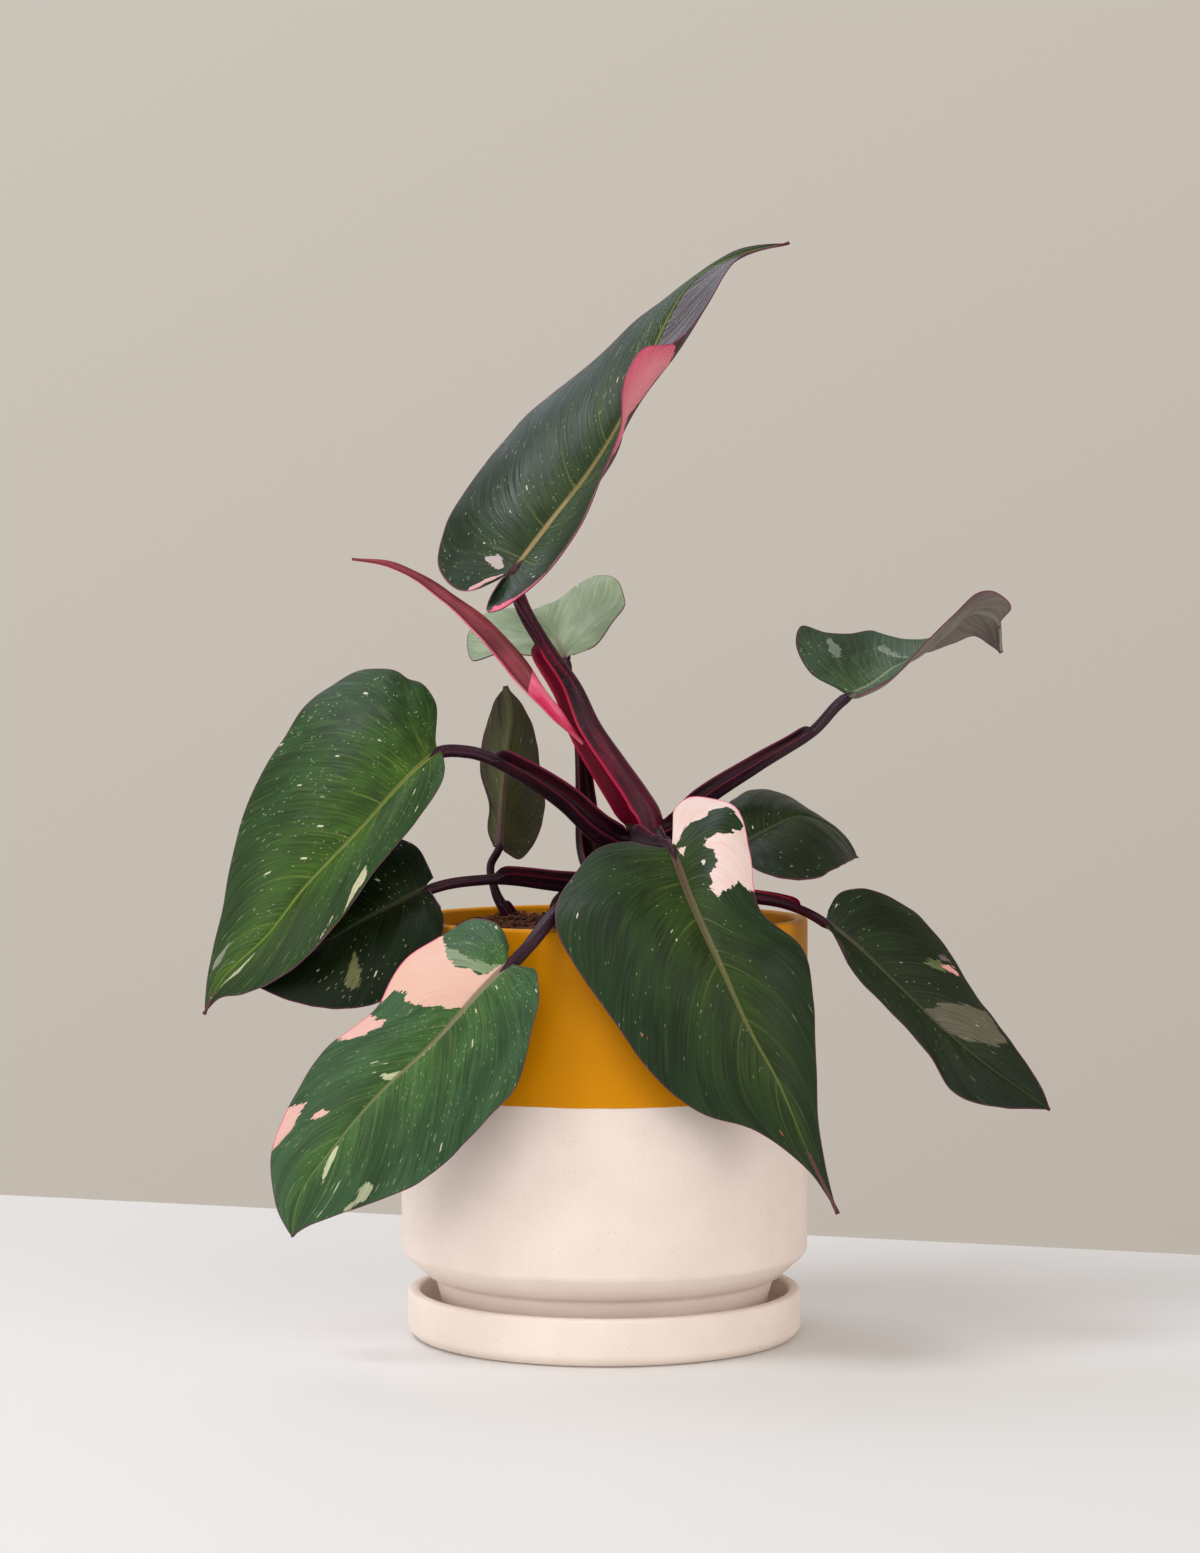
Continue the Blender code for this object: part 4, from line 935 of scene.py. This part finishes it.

# Lower left leaf. Small, and in the shade of the two leaves above it, with one olive mark. That shade is
# painted into its skin as the darkest green.
painted_deep_shade_skin = leaf_skin("Green leaf skin darkened most as painted shade", "#15240A", "#13220E", "#080F05", "#3A4822", "#3C3A28",
                        gloss=0.14)
blade_way = leaf(
    "lower_left",
    midrib=((-0.070, -0.048, 0.184), (-0.080, -0.051, 0.179), (-0.094, -0.050, 0.172),
            (-0.111, -0.044, 0.162), (-0.129, -0.038, 0.154), (-0.143, -0.033, 0.147)),
    left=((-0.0668, -0.0545, 0.180), (-0.063, -0.058, 0.174), (-0.064, -0.064, 0.164),
          (-0.074, -0.066, 0.150), (-0.088, -0.062, 0.140), (-0.104, -0.056, 0.137),
          (-0.123, -0.046, 0.139), (-0.137, -0.038, 0.144), (-0.143, -0.033, 0.147)),
    right=((-0.0675, -0.0425, 0.1875), (-0.069, -0.042, 0.191), (-0.076, -0.036, 0.201),
           (-0.087, -0.032, 0.203), (-0.103, -0.032, 0.194), (-0.119, -0.032, 0.176),
           (-0.133, -0.032, 0.158), (-0.143, -0.033, 0.147)),
    arch=((0.06, 0.09, 0.08, 0.05), (0.06, 0.09, 0.08, 0.05)),
    pale=(
        ("#6E7048", ((0.535, -0.36), (0.525, -0.44), (0.525, -0.52), (0.515, -0.64), (0.525, -0.76),
                     (0.545, -0.80), (0.56, -0.82), (0.575, -0.72), (0.565, -0.64), (0.56, -0.52))),
    ),
    skin=painted_deep_shade_skin, flecks=0.16, seed=4.0,
)
stalk(
    "lower_left", blade_way,
    path=((-0.017, -0.012, 0.1830), (-0.047, -0.034, 0.1865)),
    girth=(0.0034, 0.0022), seat=(0.62, 190), opening=(0.1, -0.6, 0.8), wing=0.0036, sheath=0.64, seed=4.0,
)

# Right leaf. A narrow leaf that droops past the rim on a thin stalk, with an olive-brown mark across
# its lower half and a small pink one above it.
# A darker copy of the green leaf skin. Its darkness is painted shade, for leaves that stand in the shade of
# others.
painted_shade_skin = leaf_skin("Green leaf skin darkened as painted shade", "#1C2C0A", "#16260F", "#0A1206", "#34441E", "#4A4436")
blade_way = leaf(
    "right",
    midrib=((0.087, -0.042, 0.171), (0.097, -0.047, 0.163), (0.114, -0.051, 0.147), (0.133, -0.051, 0.129),
            (0.152, -0.046, 0.113), (0.1695, -0.0385, 0.1005), (0.177, -0.036, 0.095)),
    left=((0.0885, -0.0385, 0.1745), (0.093, -0.035, 0.181), (0.102, -0.031, 0.183), (0.118, -0.029, 0.177),
          (0.135, -0.030, 0.161), (0.147, -0.033, 0.142), (0.163, -0.036, 0.120), (0.174, -0.036, 0.103),
          (0.177, -0.036, 0.095)),
    right=((0.0875, -0.0465, 0.1685), (0.092, -0.052, 0.163), (0.097, -0.059, 0.152),
           (0.111, -0.063, 0.137), (0.127, -0.062, 0.119), (0.137, -0.056, 0.104), (0.156, -0.046, 0.097),
           (0.1705, -0.038, 0.0955), (0.177, -0.036, 0.095)),
    arch=((0.06, 0.10, 0.09, 0.05), (0.06, 0.10, 0.09, 0.05)),
    pink=(
        ("#DE9C94", ((0.495, -0.68), (0.495, -0.84), (0.515, -0.90), (0.55, -0.88), (0.53, -0.80),
                     (0.505, -0.72))),
    ),
    pale=(
        ("#64604E", ((0.57, 0.02), (0.585, -0.10), (0.59, -0.22), (0.61, -0.50), (0.64, -0.74),
                     (0.665, -0.94), (0.69, -0.94), (0.735, -0.88), (0.775, -0.90), (0.76, -0.66),
                     (0.775, -0.62), (0.755, -0.38), (0.72, -0.16), (0.685, -0.04), (0.65, 0.04),
                     (0.61, 0.04))),
        ("#5E6A40", ((0.46, -0.46), (0.46, -0.58), (0.475, -0.74), (0.495, -0.70), (0.515, -0.70),
                     (0.505, -0.60))),
        ("#7A6468", ((0.46, -0.76), (0.475, -0.86), (0.50, -0.88), (0.485, -0.72))),
    ),
    skin=painted_shade_skin, flecks=0.06, seed=5.0,
)
stalk(
    "right", blade_way,
    path=((0.038, -0.010, 0.1768), (0.062, -0.022, 0.1780), (0.077, -0.033, 0.1750)),
    girth=(0.0030, 0.0021), seat=(0.52, -25), sheath=0.78, skin=crimson, seed=5.0,
)

# Small right leaf. It stands behind the front leaf's pink lobe and shows its upper side only.
blade_way = leaf(
    "right_small",
    midrib=((0.053, -0.024, 0.199), (0.064, -0.018, 0.205), (0.080, -0.010, 0.211), (0.091, -0.006, 0.207),
            (0.103, -0.004, 0.194)),
    left=((0.052, -0.0175, 0.2015), (0.047, -0.008, 0.208), (0.052, 0.006, 0.217), (0.066, 0.016, 0.221),
          (0.076, 0.018, 0.218), (0.087, 0.012, 0.209), (0.098, 0.002, 0.202), (0.103, -0.004, 0.194)),
    right=((0.055, -0.028, 0.197), (0.058, -0.038, 0.192), (0.068, -0.044, 0.188), (0.081, -0.042, 0.187),
           (0.093, -0.028, 0.191), (0.103, -0.004, 0.194)),
    arch=((0.10, 0.12, 0.10, 0.05), (0.10, 0.12, 0.10, 0.05)),
    skin=painted_shade_skin, flecks=0.14, seed=6.0,
)
stalk(
    "right_small", blade_way,
    path=((0.034, -0.008, 0.1950), (0.043, -0.020, 0.1965)),
    girth=(0.0028, 0.0019), seat=(0.72, -12), wing=0.0012, seed=6.0,
)

# Upper right leaf. Half curled: the near part shows its green upper side, and the far part turns over,
# so that its dull mauve underside faces the viewer, lightened to grey by a painted sheen.
silver_green = leaf_skin("Silvery green leaf skin", "#3A5428", "#3C523C", "#1E2C1A", "#7C8A72", "#7A8468")
# The mauve is the underside's own colour; its lighter grey taupe is painted sheen.
sheen_greyed_back = leaf_skin("Mauve leaf underside greyed by painted sheen", "#7F7B6A", "#786F69", "#4E4240", "#86807A", "#8C8074",
                       hem="#7A3A4C", roughness=0.45)
blade_way = leaf(
    "right_upper",
    midrib=((0.099, 0.008, 0.260), (0.108, 0.008, 0.264), (0.118, 0.010, 0.271), (0.128, 0.013, 0.276),
            (0.140, 0.018, 0.285), (0.153, 0.024, 0.294), (0.162, 0.029, 0.291), (0.165, 0.034, 0.277)),
    left=((0.095, 0.014, 0.262), (0.086, 0.010, 0.267), (0.079, 0.016, 0.279), (0.082, 0.028, 0.288),
          (0.092, 0.033, 0.2855), (0.102, 0.036, 0.2850), (0.1115, 0.037, 0.2862), (0.118, 0.036, 0.2828),
          (0.1225, 0.035, 0.2797), (0.130, 0.034, 0.277), (0.144, 0.036, 0.281), (0.154, 0.038, 0.284),
          (0.161, 0.038, 0.280), (0.165, 0.034, 0.277)),
    right=((0.102, -0.002, 0.260), (0.103, -0.008, 0.260), (0.109, -0.013, 0.263), (0.116, -0.014, 0.267),
           (0.122, -0.010, 0.273), (0.132, -0.003, 0.283), (0.142, 0.005, 0.292), (0.154, 0.013, 0.302),
           (0.163, 0.021, 0.301), (0.168, 0.026, 0.2955), (0.1640, 0.030, 0.2895), (0.1635, 0.032, 0.283),
           (0.165, 0.034, 0.277)),
    arch=((-0.10, -0.14, 0.00, 0.08), (-0.10, -0.14, 0.00, 0.08)),
    pale=(
        ("#7C8876", ((0.37, -0.92), (0.355, -0.72), (0.295, -0.54), (0.26, -0.62), (0.31, -0.74))),
        ("#7C8876", ((0.48, -0.62), (0.50, -0.60), (0.485, -0.34), (0.48, -0.08), (0.46, -0.24),
                     (0.465, -0.46))),
    ),
    skin=silver_green, under=sheen_greyed_back, flecks=0.16, seed=7.0,
)
stalk(
    "right_upper", blade_way,
    path=((0.040, -0.003, 0.2170), (0.062, 0.000, 0.2310), (0.085, 0.004, 0.2450)),
    girth=(0.0044, 0.0023), seat=(0.95, 12), opening=(-0.3, -0.7, 0.7), wing=0.0026, sheath=0.76, seed=7.0,
)

# Back leaf. A young leaf seen from below against the light, pale grey-green all over.
young = leaf_skin("Young pale leaf skin", "#74866A", "#7C8C6C", "#A4B294", "#98A484", "#8E8A6C")
young_back = leaf_skin("Young pale leaf underside", "#7A8F7C", "#859984", "#B0C0AE", "#B2BEA2", "#9A8A78",
                       roughness=0.5)
blade_way = leaf(
    "back",
    midrib=((-0.016, 0.044, 0.275), (-0.020, 0.058, 0.283), (-0.025, 0.078, 0.290), (-0.032, 0.100, 0.295),
            (-0.040, 0.122, 0.291)),
    left=((-0.018, 0.042, 0.275), (-0.031, 0.038, 0.276), (-0.044, 0.040, 0.277), (-0.055, 0.048, 0.274),
          (-0.058, 0.062, 0.284), (-0.051, 0.080, 0.294), (-0.045, 0.100, 0.296), (-0.040, 0.122, 0.291)),
    right=((-0.013, 0.042, 0.276), (-0.004, 0.038, 0.280), (0.003, 0.042, 0.289), (0.009, 0.054, 0.299),
           (0.002, 0.066, 0.310), (-0.007, 0.076, 0.309), (-0.017, 0.088, 0.301), (-0.028, 0.106, 0.297),
           (-0.040, 0.122, 0.291)),
    arch=((0.10, 0.12, 0.10, 0.05), (0.10, 0.12, 0.10, 0.05)),
    skin=young, under=young_back, flecks=0.10, seed=8.0,
)
stalk(
    "back", blade_way,
    path=((-0.005, 0.014, 0.1920), (-0.008, 0.017, 0.2160), (-0.010, 0.019, 0.2380),
          (-0.015, 0.034, 0.2620)),
    girth=(0.0072, 0.0018), seat=(0.56, 125), opening=(0.3, -1, 0.2), wing=0.0030, sheath=0.60, seed=8.0,
)

# Small back leaf. It stands upright on a shoot of its own and shows its olive-brown underside.
olive_back = leaf_skin("Olive leaf underside", "#4C5224", "#3E3D26", "#281F16", "#5E5A3C", "#5A4440",
                       roughness=0.48)
blade_way = leaf(
    "back_small",
    midrib=((-0.0435, 0.028, 0.1965), (-0.042, 0.034, 0.221), (-0.040, 0.036, 0.241),
            (-0.039, 0.0345, 0.250), (-0.041, 0.030, 0.263)),
    left=((-0.0412, 0.028, 0.1942), (-0.036, 0.032, 0.191), (-0.029, 0.038, 0.198), (-0.025, 0.044, 0.212),
          (-0.027, 0.046, 0.228), (-0.029, 0.045, 0.243), (-0.034, 0.040, 0.255), (-0.041, 0.030, 0.263)),
    right=((-0.046, 0.028, 0.1965), (-0.0485, 0.033, 0.203), (-0.048, 0.036, 0.212), (-0.052, 0.044, 0.228),
           (-0.051, 0.046, 0.240), (-0.048, 0.042, 0.250), (-0.045, 0.036, 0.258), (-0.041, 0.030, 0.263)),
    arch=((0.08, 0.10, 0.10, 0.05), (0.08, 0.10, 0.10, 0.05)),
    skin=painted_shade_skin, under=olive_back, flecks=0.08, seed=9.0,
)
stalk(
    "back_small", blade_way,
    path=((-0.038, 0.028, 0.1460), (-0.0385, 0.0275, 0.1650), (-0.045, 0.027, 0.1780),
          (-0.047, 0.027, 0.1890)),
    girth=(0.0042, 0.0017), opening=(0.8, -0.8, 0.2), wing=0.0018, seed=9.0,
)

# Top leaf. The newest open leaf, on the longest stalk. Its left half lies flat, and its right margin is
# still rolled in, so that the hot pink underside shows along it. Its pale marks carry bluish-silver streaks
# of painted sheen.
top_green = leaf_skin("Green leaf skin, newest leaf", "#263E0E", "#1B301C", "#0E1708", "#717C3C", "#9A8258",
                      hem="#8A3E5A", painted_sheen="#A4A8B2", roughness=0.35, gloss=0.40)
blade_way = leaf(
    "top",
    midrib=((-0.038, -0.016, 0.308), (-0.022, -0.012, 0.329), (-0.006, -0.006, 0.350),
            (0.005, 0.000, 0.368), (0.016, 0.006, 0.391), (0.024, 0.010, 0.410), (0.035, 0.014, 0.428),
            (0.054, 0.020, 0.440), (0.076, 0.026, 0.446)),
    left=((-0.0425, -0.0125, 0.306), (-0.049, -0.012, 0.303), (-0.059, -0.006, 0.302),
          (-0.067, 0.002, 0.310), (-0.065, 0.010, 0.328), (-0.052, 0.016, 0.350), (-0.031, 0.022, 0.375),
          (-0.006, 0.024, 0.396), (0.020, 0.022, 0.419), (0.038, 0.022, 0.432), (0.056, 0.024, 0.443),
          (0.076, 0.026, 0.446)),
    right=((-0.0405, -0.0212, 0.306), (-0.0443, -0.0245, 0.3005), (-0.047, -0.026, 0.293),
           (-0.043, -0.030, 0.293), (-0.033, -0.036, 0.299), (-0.022, -0.040, 0.309),
           (-0.010, -0.042, 0.326), (-0.001, -0.040, 0.347), (0.006, -0.038, 0.365), (0.007, -0.038, 0.382),
           (0.014, -0.032, 0.396), (0.028, -0.016, 0.401), (0.041, 0.000, 0.417), (0.054, 0.012, 0.437),
           (0.076, 0.026, 0.446)),
    arch=((0.02, 0.10, 0.12, 0.10, 0.05), (0.02, -0.08, -0.14, -0.24, -0.05)),
    pink=(
        ("#CFA5A3", ((0.065, -1.0), (0.06, -0.84), (0.05, -0.64), (0.03, -0.32), (0.02, -0.38),
                     (0.025, -0.66), (0.035, -0.78), (0.05, -1.0))),
        ("#D8486E", ((0.07, 1.1), (0.075, 0.92), (0.09, 0.89), (0.12, 0.93), (0.17, 0.95), (0.20, 0.98),
                     (0.20, 1.1))),
        ("#EC98A6", ((0.42, 0.86), (0.42, 1.1), (0.68, 1.1), (0.66, 0.55), (0.58, 0.45), (0.52, 0.60))),
        ("#9A5A6C", ((0.16, 0.97), (0.30, 0.92), (0.41, 0.88), (0.41, 1.1), (0.16, 1.1))),
    ),
    pale=(
        ("#B8A8A4", ((0.125, -0.50), (0.135, -0.48), (0.13, -0.38), (0.125, -0.30), (0.11, -0.24),
                     (0.105, -0.28), (0.08, -0.22), (0.075, -0.38), (0.09, -0.42), (0.105, -0.46))),
        ("#40363A", ((0.69, 0.05), (0.68, 0.30), (0.70, 0.60), (0.70, 1.1), (0.90, 1.1), (0.92, 0.30),
                     (0.88, 0.05))),
        ("#C8C4B4", ((0.64, 0.06), (0.66, 0.14), (0.72, 0.16), (0.745, 0.10), (0.70, 0.07))),
    ),
    skin=top_green, flecks=0.30, seed=10.0,
)
stalk(
    "top", blade_way,
    path=((0.0172, 0.0004, 0.2020), (0.0163, 0.0000, 0.2099), (0.013, -0.001, 0.2160),
          (0.004, -0.003, 0.2300), (-0.006, -0.006, 0.2460), (-0.013, -0.009, 0.2620),
          (-0.022, -0.009, 0.2760), (-0.034, -0.009, 0.2970)),
    girth=(0.0074, 0.0032), opening=(-1, -0.6, 0.2), wing=0.0046, sheath=0.70, skin=crimson, seed=10.0,
)

# Furled leaf. The next leaf, still rolled up like a scroll, pushes out of the top leaf's sheath. Its young
# skin is brick red and satin, with a hot pink part at its foot and a painted shadow line where one edge
# laps the other.
FURLED = ((-0.0088, -0.0074, 0.2402), (-0.0175, -0.0120, 0.2500), (-0.028, -0.0155, 0.2620),
          (-0.038, -0.017, 0.2750), (-0.049, -0.019, 0.2870), (-0.062, -0.020, 0.2980),
          (-0.074, -0.020, 0.3065), (-0.086, -0.020, 0.3120), (-0.101, -0.020, 0.3140))
FURLED_RADII = (0.0008, 0.0028, 0.0044, 0.0040, 0.0024, 0.0014, 0.0004)
FURLED_THICKNESS = 0.0004
SCROLL_TURNS = 1.45
SCROLL_START = 2.4
SCROLL_TIGHT = 0.84

scroll, tree, shader = finish("Furled leaf skin", 0.40, ior=1.45)
place = add(tree, "SeparateXYZ", {0: add(tree, "Attribute", attribute_name="place").outputs["Vector"]})
grain = add(tree, "Attribute", attribute_name="grain").outputs["Vector"]
drawn = add(tree, "VectorMath", {0: grain, 1: (50, 700, 1)}, operation="MULTIPLY").outputs[0]
streak = add(tree, "TexNoise", {"Vector": drawn, "Scale": 1, "Detail": 3}).outputs[0]
tone = add(tree, "MapRange", {0: streak, 1: 0.4, 2: 0.62}).outputs[0]
red = add(tree, "Mix", {0: tone, 6: linear("#651C25"), 7: linear("#8A303A")}, data_type="RGBA").outputs[2]
broad = add(tree, "MapRange", {0: place.outputs[1], 1: 0.20, 2: 0.38, 3: 0.92, 4: 0.06}).outputs[0]
reach = add(tree, "Math", {0: place.outputs[0], 1: broad}, operation="ADD").outputs[0]
rim = add(tree, "MapRange", {0: reach, 1: 0.985, 2: 1.0}).outputs[0]
blaze = add(tree, "Mix", {0: tone, 6: linear("#D8285C"), 7: linear("#F08098")}, data_type="RGBA").outputs[2]
# Painted shadow: a dark band on the inner layer just past the free edge, where the outer layer laps over it.
under = add(tree, "MapRange", {0: place.outputs[0], 1: 0.315, 2: 0.375, 3: 0.85, 4: 0}).outputs[0]
inner = add(tree, "Math", {0: place.outputs[0], 1: 0.30}, operation="GREATER_THAN").outputs[0]
lap_shadow = add(tree, "Math", {0: under, 1: inner}, operation="MULTIPLY").outputs[0]
lap_shadowed = add(tree, "Mix", {0: lap_shadow, 6: red, 7: linear("#3E0E15")}, data_type="RGBA").outputs[2]
hot = add(tree, "Mix", {0: rim, 6: lap_shadowed, 7: blaze}, data_type="RGBA").outputs[2]
tree.links.new(hot, shader.inputs["Base Color"])
bump = add(tree, "Bump", {"Height": streak, "Distance": 0.0002, "Strength": 0.4})
tree.links.new(bump.outputs[0], shader.inputs["Normal"])

line = Line(FURLED)
bpy.ops.mesh.primitive_grid_add(x_subdivisions=48, y_subdivisions=90, size=2)
furled = bpy.context.object
furled.name = "furled_leaf_scroll"
grain, place = [], []
for vertex in furled.data.vertices:
    turn, share = (vertex.co.x + 1) / 2, (vertex.co.y + 1) / 2
    ahead = line.along(share, near=0.01)
    right = ahead.cross(Vector((0, -1, 0))).normalized()
    above = right.cross(ahead)
    radius = eased(FURLED_RADII, share) * (SCROLL_TIGHT + (1 - SCROLL_TIGHT) * turn)
    angle = SCROLL_START + math.tau * SCROLL_TURNS * turn
    vertex.co = line.at(share) + radius * (math.sin(angle) * right + math.cos(angle) * above)
    grain.append((line.length * share, 0.006 * turn, 0.0))
    place.append((turn, share, 0.0))
marked(furled, grain=grain, place=place)
thick = furled.modifiers.new("Thickness", "SOLIDIFY")
thick.thickness = FURLED_THICKNESS
thick.offset = 0
furled.data.materials.append(scroll)
bpy.ops.object.modifier_apply(modifier=thick.name)
bpy.ops.object.shade_smooth_by_angle(angle=LIVING_CREASE)
settle(furled, "new_leaf", "leaf_furled")
